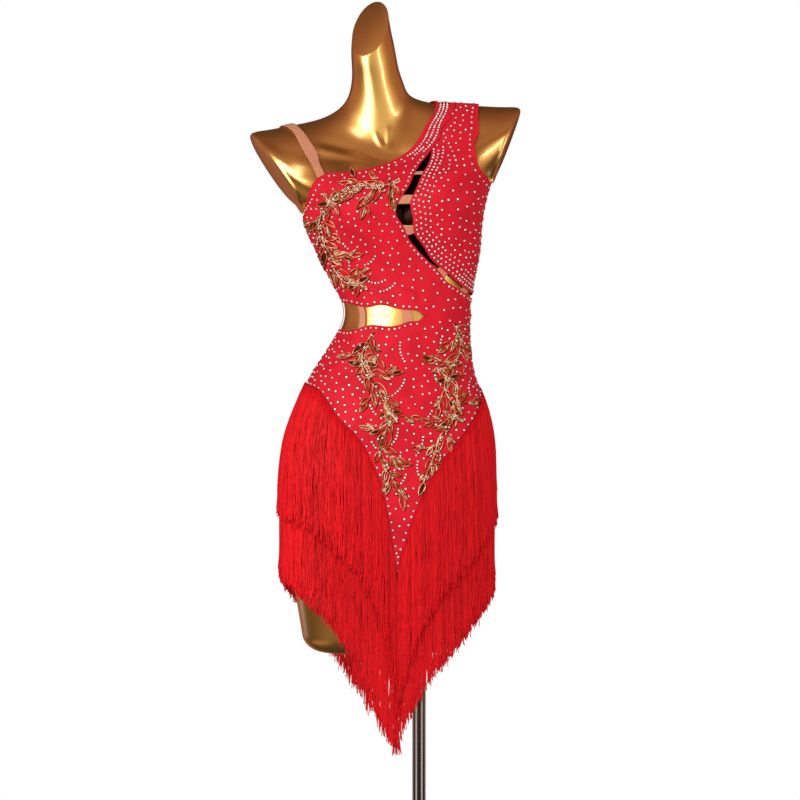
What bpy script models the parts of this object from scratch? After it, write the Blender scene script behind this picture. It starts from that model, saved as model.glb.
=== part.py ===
"""Salsa dance dress on a torso dress form with a pole stand.

Blender 4.5, metres, +Z up. The dress faces -Y and +X is the wearer's left. The origin is the centre of the
stand's underside, on the pole's axis. Every cloth piece is a wall round one body surface, which body() gives
from an angle round the body and a level up it; the levels of the trunk are heights above the floor.
"""
import math
from collections import namedtuple

import bmesh
import bpy
import numpy as np
from mathutils import Matrix, Vector

MM = 0.001

# ---------------------------------------------------------------- driving dimensions
# One row for each ring round the body, from the skirt's hem to the cut of the neck, in millimetres and degrees.
# right_x, right_z and left_x, left_z are the ring's side points; front_z and back_z its height at centre front
# and centre back; mid_y the depth of its middle; front and back its reach from there; square is 2 for an
# ellipse and more for a squarer ring; twist turns it towards the wearer's left.
Ring = namedtuple("Ring", "level right_x right_z left_x left_z front_z back_z mid_y front back square twist")
RINGS = [
    Ring(560, -182, 560, 68, 560, 560, 560, -16, 90, 98, 2.3, 15),
    Ring(637, -195, 637, 92, 637, 637, 637, -16, 97, 108, 2.3, 15),
    Ring(701, -205, 701, 104, 701, 701, 701, -16, 102, 118, 2.3, 15),
    Ring(765, -211, 765, 110, 765, 765, 765, -16, 106, 126, 2.3, 15),
    Ring(813, -213, 813, 112, 813, 813, 813, -16, 108, 128, 2.3, 15),
    Ring(861, -210, 861, 111, 861, 861, 861, -16, 107, 124, 2.3, 15),
    Ring(909, -202, 909, 109, 909, 909, 909, -17, 105, 114, 2.25, 14),
    Ring(957, -188, 957, 101, 957, 957, 957, -18, 100, 101, 2.2, 12),
    Ring(986, -176, 986, 91, 986, 986, 986, -19, 95, 93, 2.15, 11),
    Ring(1021, -154, 1021, 82, 1021, 1021, 1021, -20, 88, 84, 2.1, 9),
    Ring(1053, -134, 1053, 79, 1053, 1053, 1053, -20, 83, 77, 2.1, 8),
    Ring(1082, -120, 1082, 79, 1082, 1082, 1082, -19, 80, 74, 2.1, 7),
    Ring(1117, -122, 1117, 81, 1117, 1117, 1117, -17, 80, 75, 2.1, 5),
    Ring(1149, -139, 1149, 86, 1149, 1149, 1149, -13, 82, 80, 2.15, 4),
    Ring(1197, -163, 1197, 95, 1197, 1197, 1197, -8, 87, 88, 2.2, 2),
    Ring(1245, -182, 1245, 100, 1252, 1245, 1248, -4, 91, 94, 2.3, 0),
    Ring(1285, -187, 1266, 114, 1306, 1284, 1293, -1, 90, 95, 2.4, 0),
    Ring(1318, -221, 1290, 129, 1333, 1300, 1316, 1, 85, 92, 2.6, 0),
    Ring(1350, -248, 1325, 145, 1364, 1313, 1336, 3, 78, 87, 2.9, 0),
    Ring(1384, -262, 1366, 157, 1405, 1325, 1357, 4, 70, 79, 3.0, 0),
    Ring(1410, -250, 1382, 150, 1420, 1336, 1375, 4, 62, 70, 2.8, 0),
    Ring(1440, -213, 1393, 117, 1425, 1346, 1393, 3, 57, 63, 2.5, 0),
    Ring(1474, -170, 1401, 65, 1427, 1354, 1408, 2, 53, 57, 2.3, 0),
    Ring(1506, -136, 1415, 18, 1430, 1365, 1422, 1, 48, 51, 2.1, 0),
    Ring(1532, -117, 1434, -13, 1441, 1385, 1439, -1, 43, 44, 2.0, 0),
    Ring(1556, -109, 1457, -24, 1460, 1412, 1459, -4, 39, 39, 2.0, 0),
    Ring(1584, -107, 1483, -33, 1487, 1445, 1490, -8, 37, 37, 2.0, 0),
    Ring(1610, -108, 1504, -39, 1518, 1472, 1526, -12, 36, 36, 2.0, 0),
    Ring(1630, -108, 1518, -44.5, 1542, 1488, 1560, -15, 35, 35, 2.0, 0),
    Ring(1648, -107, 1531.5, -48.5, 1564.5, 1502, 1594, -17, 34, 33, 2.0, 0),
]
NECK_TOP = 1648

# The bust: how far it stands out of the chest, where its points are, and how it falls away sideways, up and down.
BUST_CENTRE_X, BUST_HALF_APART, BUST_Z = -30, 86, 1262
FORM_SPREAD = dict(reach=45, out=40, up=42, down=33)
CLOTH_SPREAD = dict(reach=46, out=52, up=44, down=46)
BRIDGE_DIP = 0.27

COLUMNS = {name: np.array([getattr(ring, name) for ring in RINGS], float) for name in Ring._fields}


def natural_spline(knots, values):
    """The second derivatives of the smooth curve through the values, bent the least."""
    n = len(knots)
    gap = np.diff(knots)
    matrix, right = np.eye(n), np.zeros(n)
    for i in range(1, n - 1):
        matrix[i, i - 1 : i + 2] = gap[i - 1], 2 * (gap[i - 1] + gap[i]), gap[i]
        right[i] = 6 * ((values[i + 1] - values[i]) / gap[i] - (values[i] - values[i - 1]) / gap[i - 1])
    return np.linalg.solve(matrix, right)


def along_spline(knots, values, bends, at):
    at = np.clip(at, knots[0], knots[-1])
    i = np.clip(np.searchsorted(knots, at, side="right") - 1, 0, len(knots) - 2)
    gap = knots[i + 1] - knots[i]
    before, after = knots[i + 1] - at, at - knots[i]
    return (
        (bends[i] * before**3 + bends[i + 1] * after**3) / (6 * gap)
        + (values[i] / gap - bends[i] * gap / 6) * before
        + (values[i + 1] / gap - bends[i + 1] * gap / 6) * after
    )


BENDS = {name: natural_spline(COLUMNS["level"], COLUMNS[name]) for name in Ring._fields[1:]}


def ring_at(level):
    return Ring(level, *(along_spline(COLUMNS["level"], COLUMNS[n], BENDS[n], level) for n in Ring._fields[1:]))


def bust(x, z, spread, bridged):
    """How far the bust stands out at a place on the chest. Cloth bridges straight from point to point."""
    off = np.abs(x - BUST_CENTRE_X)
    up = np.where(z > BUST_Z, spread["up"], spread["down"])
    tall = np.exp(-(((z - BUST_Z) / up) ** 2) / 2)
    across = np.exp(-(((off - BUST_HALF_APART) / spread["out"]) ** 2) / 2)
    if bridged:
        inner = 1 - BRIDGE_DIP * (1 - np.minimum(off / BUST_HALF_APART, 1) ** 2) ** 2
        across = np.where(off < BUST_HALF_APART, inner, across)
    return spread["reach"] * tall * across


def body(angle, level, cloth=True):
    """Points on the body, in millimetres, at angles in degrees (0 front, 90 the wearer's left) and levels."""
    angle, level = np.broadcast_arrays(np.radians(np.asarray(angle, float)), np.asarray(level, float))
    ring = ring_at(level)
    sin, cos = np.sin(angle), np.cos(angle)
    swell = (np.abs(sin) ** ring.square + np.abs(cos) ** ring.square) ** (-1 / ring.square)
    across = (ring.left_x - ring.right_x) / 2 * sin * swell
    reach = (ring.front + ring.back) / 2 + (ring.front - ring.back) / 2 * cos
    deep = -reach * cos * swell
    z = (
        (ring.left_z + ring.right_z) / 2
        + (ring.left_z - ring.right_z) / 2 * sin
        + (ring.front_z - ring.back_z) / 2 * cos
        + ((ring.front_z + ring.back_z) / 2 - (ring.left_z + ring.right_z) / 2) * cos**2
    )
    turn = np.radians(ring.twist)
    x = (ring.left_x + ring.right_x) / 2 + across * np.cos(turn) - deep * np.sin(turn)
    y = ring.mid_y + across * np.sin(turn) + deep * np.cos(turn)
    facing = np.clip(cos * 2.5, 0, 1)
    y = y - bust(x, z, CLOTH_SPREAD if cloth else FORM_SPREAD, cloth) * facing**2 * (3 - 2 * facing)
    return np.stack([x, y, z], axis=-1)


def outward(angle, level, cloth=True):
    """Unit normals of the body."""
    step_a, step_l = 0.5, 1.5
    round_it = body(angle + step_a, level, cloth) - body(angle - step_a, level, cloth)
    up_it = body(angle, level + step_l, cloth) - body(angle, level - step_l, cloth)
    normal = np.cross(round_it, up_it)
    return normal / np.linalg.norm(normal, axis=-1, keepdims=True)


def worn(angle, level, away):
    """Points of cloth that lies away from the body by so many millimetres."""
    angle, level = np.broadcast_arrays(np.asarray(angle, float), np.asarray(level, float))
    return body(angle, level) + outward(angle, level) * np.asarray(away, float)[..., None]


# ---------------------------------------------------------------- the pattern
# Edges of the cloth pieces, each a row of (angle, level) places that a smooth curve goes through.
# A side seam's angle, met from the front and, on the wearer's right, from the back; the shoulder's line; and the
# levels where the front and back meet at the left seam beside the waist's cut-out.
RIGHT_SEAM, RIGHT_SEAM_BACK, LEFT_SEAM = -110, 250, 100
SHOULDER = 90
WAIST_ABOVE, WAIST_BELOW = 1098.4, 1097.6
NECKLINE = [
    (90, 1500), (57, 1497), (36, 1487), (15, 1450), (7, 1412), (1, 1386), (-4, 1372), (-12, 1356), (-27, 1347)
]
UNDERARM = [(-27, 1347), (-32, 1336), (-39, 1319), (-53, 1297), (-73, 1274), (-90, 1256), (-110, 1248)]
SHOULDER_SEAM = [(90, 1479), (53, 1474), (39, 1465), (25, 1434), (19, 1409)]
SLIT_NEAR = [
    (19, 1409), (16, 1364), (14, 1331), (9, 1293), (5, 1272), (2, 1256), (2, 1243), (6, 1226), (7, 1213),
    (12, 1190), (20, 1171), (26, 1159), (34, 1142), (47, 1131), (60, 1123), (100, 1119),
]
SLIT_FAR = [
    (19, 1409), (18, 1364), (17, 1328), (14, 1296), (11, 1270), (10, 1257), (12, 1243), (12, 1217), (16, 1197),
    (21, 1176), (27, 1165), (38, 1150), (50, 1137), (66, 1128), (90, 1125),
]
ARMHOLE = [
    (90, 1455), (70, 1452), (51, 1436), (40, 1410), (37, 1377), (41, 1344), (50, 1309), (63, 1288), (80, 1282),
    (100, 1280),
]
BACK_ARMHOLE = [(90, 1455), (112, 1450), (133, 1432), (141, 1400), (141, 1362), (134, 1322), (119, 1292), (100, 1280)]
BACK_EDGE = [
    (90, 1500), (128, 1497), (148, 1481), (161, 1450), (174, 1408), (190, 1358), (209, 1308), (229, 1270),
    (250, 1250),
]
CUT_TOP = [
    (-110, 1118), (-82, 1112), (-58, 1107), (-42, 1102), (-30, 1105), (-18, 1101), (-5, 1097), (5, 1095),
    (10, 1088.4),
]
CUT_FOOT = [
    (-110, 1068), (-78, 1067), (-52, 1066), (-38, 1073), (-20, 1071), (-10, 1074), (-2, 1079), (6, 1081),
    (10, 1087.6),
]
BACK_CUT_TOP = [(212, 1092.4), (216, 1103), (230, 1112), (250, 1118)]
BACK_CUT_FOOT = [(212, 1091.6), (216, 1081), (230, 1072), (250, 1068)]
V_RIGHT = [
    (-110, 984), (-85, 978), (-60, 968), (-42, 931), (-27, 894), (-20, 863), (-14, 824), (-10, 772), (-7, 722),
    (-4, 663),
]
V_LEFT = [
    (-4, 663), (-4, 686), (0, 730), (5, 773), (11, 814), (21, 859), (34, 896), (47, 926), (70, 964), (100, 985)
]
BACK_V_LEFT = [(100, 985), (122, 962), (145, 915), (163, 850), (180, 770)]
BACK_V_RIGHT = [(180, 770), (197, 850), (214, 915), (233, 962), (250, 984)]
LOW_RIGHT = [
    (-110, 888), (-90, 886), (-73, 882), (-59, 862), (-44, 833), (-32, 788), (-25, 745), (-19, 699), (-12, 652),
    (-5, 622),
]
LOW_LEFT = [(-4, 622), (0, 660), (5, 690), (13, 733), (25, 771), (38, 811), (54, 848), (75, 875), (100, 888)]
BACK_LOW_LEFT = [(100, 890), (125, 858), (148, 800), (165, 735), (179.5, 660)]
BACK_LOW_RIGHT = [(180.5, 660), (196, 735), (212, 800), (230, 858), (250, 888)]

# How far each layer of cloth lies from the body, its wall, and the gap kept at a seam, in millimetres.
PANEL_AWAY, PANEL_WALL = 1.7, 1.2
SKIRT_AWAY, SKIRT_WALL = 4.2, 1.2
ELASTIC_AWAY, ELASTIC_WALL = 1.2, 1.0
SEAM_GAP = 0.4
BRIDGE_GAP, BRIDGE_STEP = 1.2, 9
SKIRT_LAP = 4
# Where cloth stands off a hollow: the middle of the place, how wide and tall it is, and how far the cloth lifts.
Swelling = namedtuple("Swelling", "angle wide level tall lift")
SHOULDER_BLADE = Swelling(125, 28, 1350, 55, 1.5)
UNDER_THE_ARM = Swelling(-98, 16, 1246, 22, 1.6)
NECK_HOLLOW, NECK_HOLLOW_FROM, NECK_HOLLOW_TO = 0.9, 1400, 1460

# The elastic strap over the right shoulder: its middle from end to end, and its width.
STRAP_WIDTH = 15
STRAP_PATH = [
    (-29.8, 1345.6), (-31, 1395), (-47, 1436), (-66, 1448), (-92, 1442), (-120, 1426), (-135, 1390), (-137, 1345),
    (-129, 1300), (-119, 1250),
]
# How far the strap lifts off: along it from 0 to 1, and the lift. Its end lies on the back's edge.
STRAP_LIFT = [
    (0, 0), (0.25, 0.3), (0.35, 1.6), (0.48, 1.6), (0.6, 0.5), (0.7, 0.5), (0.8, 4), (0.88, 6), (0.95, 3.2), (1, 2.8)
]
# Elastic bridges across the two cut-outs, each from one edge's pair of places to the other edge's pair.
Bridge = namedtuple("Bridge", "name near_a near_b far_b far_a")
BRIDGES = [
    Bridge("slit_bridge_1", (14.4, 1330), (13.6, 1319), (16.2, 1315), (17, 1326)),
    Bridge("slit_bridge_2", (4.7, 1270), (2.5, 1257.5), (9.6, 1257), (10.6, 1269)),
    Bridge("slit_bridge_3", (6, 1228), (6.9, 1213), (11.7, 1216), (11.7, 1228)),
    Bridge("slit_bridge_4", (24.8, 1161), (31, 1147), (34.2, 1154), (27.3, 1164.2)),
    Bridge("slit_bridge_5", (48, 1130.4), (58, 1124.3), (64, 1129), (54, 1134.6)),
    Bridge("waist_bridge_1", (-99.5, 1067.6), (-93.5, 1067.4), (-93.5, 1114.6), (-99.5, 1115.8)),
    Bridge("waist_bridge_2", (-49, 1066.9), (-42.6, 1069.9), (-46, 1103.2), (-53.6, 1105.7)),
    Bridge("waist_bridge_3", (-8.5, 1075.2), (0.6, 1079.7), (-0.8, 1094.4), (-10, 1096.8)),
]

# The fringe: each tier's strand length, how far its strands lie from the body at the top and lower down, and
# which of LOCK_STEPS steps down a strand its locks have a section at.
FRINGE_BAND, FRINGE_BAND_AWAY, FRINGE_BAND_WALL = 8, 6.1, 2
LOCK_PITCH, LOCK_THICK, LOCK_GAP, LOCK_TAPER = 14, 2.6, 1.0, 0.35
LOCK_STEPS = 12
FRINGE_SETTLE = 24
Tier = namedtuple("Tier", "name root length top_away low_away sections")
TIERS = [
    Tier("fringe_upper_front_right", V_RIGHT, 196, 6.3, 11.2, [1, 4, 8, 12]),
    Tier("fringe_upper_front_left", V_LEFT, 196, 6.3, 11.2, [1, 4, 8, 12]),
    Tier("fringe_upper_back_left", BACK_V_LEFT, 196, 6.3, 11.2, [1, 4, 8, 12]),
    Tier("fringe_upper_back_right", BACK_V_RIGHT, 196, 6.3, 11.2, [1, 4, 8, 12]),
    Tier("fringe_lower_front_right", LOW_RIGHT, 218, 6.3, 6.5, [1, 5, 12]),
    Tier("fringe_lower_front_left", LOW_LEFT, 218, 6.3, 6.5, [1, 5, 12]),
    Tier("fringe_lower_back_left", BACK_LOW_LEFT, 218, 6.3, 6.5, [1, 5, 12]),
    Tier("fringe_lower_back_right", BACK_LOW_RIGHT, 218, 6.3, 6.5, [1, 5, 12]),
]

# The dress form's cut shoulders: the side and the lowest height each lies in, a point on it, and its way.
ArmCut = namedtuple("ArmCut", "side above place way")
ARM_CUTS = [
    ArmCut(-1, 1255, (-261, 0, 1364), (-0.825, -0.15, -0.545)),
    ArmCut(1, 1300, (157, 0, 1404), (0.936, -0.06, -0.353)),
]
# Spare stock that the shoulder cuts take off: how thick, its middle level, its height, and how narrow it is.
SHOULDER_SPARE, SPARE_LEVEL, SPARE_TALL, SPARE_NARROW = 22, 1370, 36, 12
FORM_COLUMNS = 36
# The rings of the form: from one level to another, about so far apart.
FormStep = namedtuple("FormStep", "low high step")
FORM_STEPS = [
    FormStep(600, 978, 42), FormStep(978, 1046, 22), FormStep(1046, 1150, 13), FormStep(1150, 1236, 22),
    FormStep(1236, 1330, 13.5), FormStep(1330, 1500, 19), FormStep(1500, 1648, 37),
]
FORM_FOOT, FORM_FOOT_ROUND = 560, 24
LEG_GAP_X, LEG_GAP_TOP, LEG_GAP_WIDTH, LEG_GAP_TIP = -50, 690, 26, 8
LEG_GAP_ROUND, LEG_GAP_REACH, LEG_GAP_SPARE = 3, 200, 20

# The stand.
POLE_RADIUS = 11
BASE_RADIUS, BASE_THICK, BASE_ROUND = 165, 8, 3
COLLAR_RADIUS, COLLAR_HEIGHT, COLLAR_BEVEL = 19, 34, 1
FLANGE_RADIUS, FLANGE_THICK, FLANGE_SLEEVE, FLANGE_WALL = 32, 4, 30, 4
FIT_GAP = 0.3


# ---------------------------------------------------------------- curves and grids on the body
def lengths(places):
    """The running length, in millimetres, of a row of places on the body."""
    steps = np.linalg.norm(np.diff(body(places[:, 0], places[:, 1]), axis=0), axis=1)
    return np.concatenate([[0], np.cumsum(steps)])


def smooth(places, steps, in_plan=False):
    """Places on the smooth curve through the given ones, that many even steps along it, or in plan."""
    places = np.array(places, float)
    knots = lengths(places)
    fine = np.linspace(0, knots[-1], 30 * len(places))
    dense = [along_spline(knots, column, natural_spline(knots, column), fine) for column in places.T]
    dense = np.stack(dense, axis=1)
    run = lengths(dense)
    if in_plan:
        flat = body(dense[:, 0], dense[:, 1])[:, :2]
        run = np.concatenate([[0], np.cumsum(np.linalg.norm(np.diff(flat, axis=0), axis=1))])
    even = np.linspace(0, run[-1], steps + 1)
    return np.stack([np.interp(even, run, dense[:, i]) for i in (0, 1)], axis=1)


def edge(*stretches):
    """One edge of a piece. Each stretch is (places, steps) and smooth in itself, with a corner at its end."""
    rows = [smooth(places, steps) for places, steps in stretches]
    return np.concatenate([rows[0], *(row[1:] for row in rows[1:])])


def shifted(places, angle=0.0, level=0.0):
    return [(a + angle, l + level) for a, l in places]


def beside(places, distance):
    """The row of places moved sideways over the body, to the right of its direction, by so many millimetres."""
    angle, level = places.T
    a_degree = np.linalg.norm(body(angle + 0.5, level) - body(angle - 0.5, level), axis=1)
    a_level = np.linalg.norm(body(angle, level + 0.5) - body(angle, level - 0.5), axis=1)
    along = np.stack([np.gradient(angle) * a_degree, np.gradient(level) * a_level], axis=1)
    along /= np.linalg.norm(along, axis=1, keepdims=True)
    return np.stack([angle + along[:, 1] * distance / a_degree, level - along[:, 0] * distance / a_level], axis=1)


def filled(first, second, top, foot):
    """A grid of places inside four edges: first and second run down, top and foot run from first to second."""
    down = np.linspace(0, 1, len(first))[:, None, None]
    over = np.linspace(0, 1, len(top))[None, :, None]
    sides = (1 - over) * first[:, None] + over * second[:, None]
    ends = (1 - down) * top[None] + down * foot[None]
    corners = (1 - down) * ((1 - over) * top[0] + over * top[-1]) + down * ((1 - over) * foot[0] + over * foot[-1])
    return sides + ends - corners


# ---------------------------------------------------------------- meshes
def material(name, color, roughness, metallic=0.0, sheen=0.0):
    made = bpy.data.materials.new(name)
    made.use_nodes = True
    made.diffuse_color = (*color, 1)
    shader = made.node_tree.nodes["Principled BSDF"]
    shader.inputs["Base Color"].default_value = (*color, 1)
    shader.inputs["Roughness"].default_value = roughness
    shader.inputs["Metallic"].default_value = metallic
    shader.inputs["Sheen Weight"].default_value = sheen
    return made


def add_object(name, bm, finish, smooth_angle=35):
    mesh = bpy.data.meshes.new(name)
    bm.to_mesh(mesh)
    bm.free()
    mesh.materials.append(finish)
    mesh.shade_smooth()
    mesh.set_sharp_from_angle(angle=math.radians(smooth_angle))
    return bpy.data.objects.new(name, mesh)


def sheet(points):
    """A grid of quads with its corners at the points, in rows from the top, and facing out of the body."""
    rows, columns = points.shape[:2]
    bm = bmesh.new()
    bmesh.ops.create_grid(bm, x_segments=columns - 1, y_segments=rows - 1, size=1)
    for vert in bm.verts:
        column = round((vert.co.x + 1) / 2 * (columns - 1))
        row = round((1 - vert.co.y) / 2 * (rows - 1))
        vert.co = Vector(points[row, column]) * MM
    bm.normal_update()
    return bm


def walled(obj, wall):
    """Gives a sheet its wall, outwards."""
    thicken = obj.modifiers.new("Wall", "SOLIDIFY")
    thicken.thickness = wall * MM
    thicken.offset = 1
    return obj


def cloth(name, places, away, wall, finish):
    """A wall of cloth over a grid of places. It bridges the hollow between the neck and the shoulder."""
    rise = (places[..., 1] - NECK_HOLLOW_FROM) / (NECK_HOLLOW_TO - NECK_HOLLOW_FROM)
    bm = sheet(worn(places[..., 0], places[..., 1], away + NECK_HOLLOW * np.clip(rise, 0, 1)))
    bmesh.ops.triangulate(bm, faces=bm.faces, quad_method="SHORT_EDGE")
    return walled(add_object(name, bm, finish), wall)


# ---------------------------------------------------------------- the dress
def stand_off(places, swelling):
    """How much farther cloth lies from the body round one place."""
    across = (places[..., 0] - swelling.angle) / swelling.wide
    up = (places[..., 1] - swelling.level) / swelling.tall
    return swelling.lift * np.exp(-(across**2) - up**2)


def bodice_front(finish):
    """The front from the neckline's band to the waist, with its edge on the slit."""
    near = shifted(SHOULDER_SEAM, level=SEAM_GAP / 2)
    first = edge((NECKLINE, 14), (UNDERARM, 7), ([(RIGHT_SEAM, 1248), (RIGHT_SEAM, 1118)], 7))
    second = edge((near, 7), ([near[-1], *SLIT_NEAR[1:]], 19), ([SLIT_NEAR[-1], (LEFT_SEAM, WAIST_ABOVE)], 2))
    top = edge(([NECKLINE[0], near[0]], 12))
    foot = edge((CUT_TOP, 7), ([CUT_TOP[-1], (LEFT_SEAM, WAIST_ABOVE)], 5))
    places = filled(first, second, top, foot)
    away = PANEL_AWAY + stand_off(places, UNDER_THE_ARM)
    return cloth("bodice_front", places, away, PANEL_WALL, finish)


def bodice_left(finish):
    """The wearer's left front, from the shoulder down to a point at the side of the waist."""
    near = shifted(SHOULDER_SEAM, angle=0.2, level=-SEAM_GAP)
    near[0] = (SHOULDER, near[0][1])
    first = edge((near, 7), ([near[-1], *SLIT_FAR[1:]], 18))
    second = edge((ARMHOLE, 14), ([ARMHOLE[-1], (LEFT_SEAM, 1124.5)], 11))
    top = edge(([near[0], ARMHOLE[0]], 8))
    foot = edge(([SLIT_FAR[-1], (LEFT_SEAM, 1124.5)], 8))
    return cloth("bodice_left", filled(first, second, top, foot), PANEL_AWAY, PANEL_WALL, finish)


def bodice_back(finish):
    """The back from the left shoulder to the waist, cut low towards the wearer's right."""
    gap = SEAM_GAP
    outer = shifted(BACK_ARMHOLE, angle=gap / 2)
    inner = shifted(BACK_EDGE, angle=gap / 2)
    inner[-1] = (RIGHT_SEAM_BACK - gap, 1250)
    first = edge((outer, 12), ([outer[-1], (LEFT_SEAM + gap / 2, WAIST_ABOVE)], 10))
    second = edge((inner, 15), ([inner[-1], (RIGHT_SEAM_BACK - gap, 1118)], 7))
    top = edge(([outer[0], inner[0]], 11))
    foot = edge(
        ([(LEFT_SEAM + gap / 2, WAIST_ABOVE), BACK_CUT_TOP[0]], 8),
        ([*BACK_CUT_TOP[:-1], (RIGHT_SEAM_BACK - gap, 1118)], 3),
    )
    places = filled(first, second, top, foot)
    away = PANEL_AWAY + stand_off(places, SHOULDER_BLADE)
    return cloth("bodice_back", places, away, PANEL_WALL, finish)


def hip_front(finish):
    first = edge(([(RIGHT_SEAM, 1068), V_RIGHT[0]], 7))
    second = edge(([(LEFT_SEAM, WAIST_BELOW), V_LEFT[-1]], 7))
    top = edge((CUT_FOOT, 15), ([CUT_FOOT[-1], (LEFT_SEAM, WAIST_BELOW)], 12))
    foot = edge((V_RIGHT, 14), (V_LEFT, 13))
    return cloth("hip_front", filled(first, second, top, foot), PANEL_AWAY, PANEL_WALL, finish)


def hip_back(finish):
    gap = SEAM_GAP
    left, right = LEFT_SEAM + gap / 2, RIGHT_SEAM_BACK - gap
    first = edge(([(left, WAIST_BELOW), (left, 985)], 7))
    second = edge(([(right, 1068), (right, 984)], 7))
    top = edge(([(left, WAIST_BELOW), BACK_CUT_FOOT[0]], 12), ([*BACK_CUT_FOOT[:-1], (right, 1068)], 6))
    foot = edge(([(left, 985), *BACK_V_LEFT[1:]], 9), ([*BACK_V_RIGHT[:-1], (right, 984)], 9))
    return cloth("hip_back", filled(first, second, top, foot), PANEL_AWAY, PANEL_WALL, finish)


def skirt_panel(name, top_places, foot_places, finish):
    """A part of the short underskirt that carries the lower fringe, hanging from the hip's edge."""
    top = smooth(shifted(top_places, level=SKIRT_LAP), 13)
    foot = smooth(foot_places, 13)
    top[0, 0] = foot[0, 0] = max(top[0, 0], foot[0, 0]) + SEAM_GAP / 2
    top[-1, 0] = foot[-1, 0] = min(top[-1, 0], foot[-1, 0]) - SEAM_GAP / 2
    first = edge(([top[0], foot[0]], 4))
    second = edge(([top[-1], foot[-1]], 4))
    return cloth(name, filled(first, second, top, foot), SKIRT_AWAY, SKIRT_WALL, finish)


def shoulder_strap(finish):
    """A flat elastic over the right shoulder. It lifts off behind the armpit and is sewn on the back's edge."""
    places = smooth(STRAP_PATH, 34)
    along = np.linspace(0, 1, len(places))
    lift = np.interp(along, *np.transpose(STRAP_LIFT))
    band = np.stack([beside(places, across * STRAP_WIDTH / 2) for across in (-1, 0, 1)], axis=1)
    bm = sheet(worn(band[..., 0], band[..., 1], ELASTIC_AWAY + lift[:, None]))
    return walled(add_object("shoulder_strap", bm, finish), ELASTIC_WALL)


def elastic_bridge(bridge, finish):
    """A short elastic from edge to edge of a cut-out, stopping just short of both."""
    near = np.linspace(bridge.near_a, bridge.near_b, 3)
    far = np.linspace(bridge.far_a, bridge.far_b, 3)
    span = np.linalg.norm(body(*near[1]) - body(*far[1]))
    steps = max(2, round(span / BRIDGE_STEP))
    short = BRIDGE_GAP / span
    along = np.linspace(short, 1 - short, steps + 1)[:, None, None]
    places = near[None] * (1 - along) + far[None] * along
    bm = sheet(worn(places[..., 0], places[..., 1], PANEL_AWAY))
    bm.faces.ensure_lookup_table()
    middle = places[steps // 2, 1]
    if np.dot(bm.faces[0].normal, outward(middle[0], middle[1])) < 0:
        bmesh.ops.reverse_faces(bm, faces=bm.faces)
    return walled(add_object(bridge.name, bm, finish), ELASTIC_WALL)


# ---------------------------------------------------------------- the fringe
def hanging(places, length, steps, top_away, low_away):
    """Points of strands that fall plumb from places on the body, and are pushed out where the body swells."""
    angle, root = places.T
    point = worn(angle, root, top_away)
    rows, ways = [point], [level_way(angle, root)]
    for step in range(1, steps + 1):
        fall = length * step / steps
        level = np.maximum(root - fall, RINGS[0].level)
        settled = min(fall / FRINGE_SETTLE, 1)
        away = top_away + (low_away - top_away) * settled * settled * (3 - 2 * settled)
        way = level_way(angle, level)
        push = np.maximum(((worn(angle, level, away) - point) * way).sum(axis=1), 0)
        point = point + way * push[:, None]
        point[:, 2] = root - fall
        rows.append(point)
        ways.append(way)
    return np.array(rows), np.array(ways)


def level_way(angle, level):
    """The level direction out of the body."""
    way = outward(angle, level) * (1, 1, 0)
    return way / np.linalg.norm(way, axis=-1, keepdims=True)


def lock_rings(tier, foot):
    """For each lock and each of its sections, four corners: inner and outer, at its first and second side."""
    away = (tier.top_away, tier.low_away)
    a_degree = np.linalg.norm(body(foot[:, 0] + 0.5, foot[:, 1]) - body(foot[:, 0] - 0.5, foot[:, 1]), axis=1)
    inset = LOCK_GAP / 2 / a_degree * np.sign(foot[-1, 0] - foot[0, 0])
    sides = []
    for places in (foot[:-1] + np.stack([inset[:-1], 0 * inset[:-1]], 1),
                   foot[1:] - np.stack([inset[1:], 0 * inset[1:]], 1)):
        inner, way = hanging(places, tier.length, LOCK_STEPS, *away)
        sides.append(np.stack([inner, inner + way * LOCK_THICK])[:, tier.sections])
    corners = np.array(sides)
    middle = corners[:, :, -1].mean(axis=(0, 1))
    corners[:, :, -1] = corners[:, :, -1] * (1 - LOCK_TAPER) + middle * LOCK_TAPER
    corners[:, :, -1, :, 2] = corners[:, :, -1, :, 2].mean(axis=1, keepdims=True)
    return corners.transpose(3, 2, 0, 1, 4)


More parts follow.
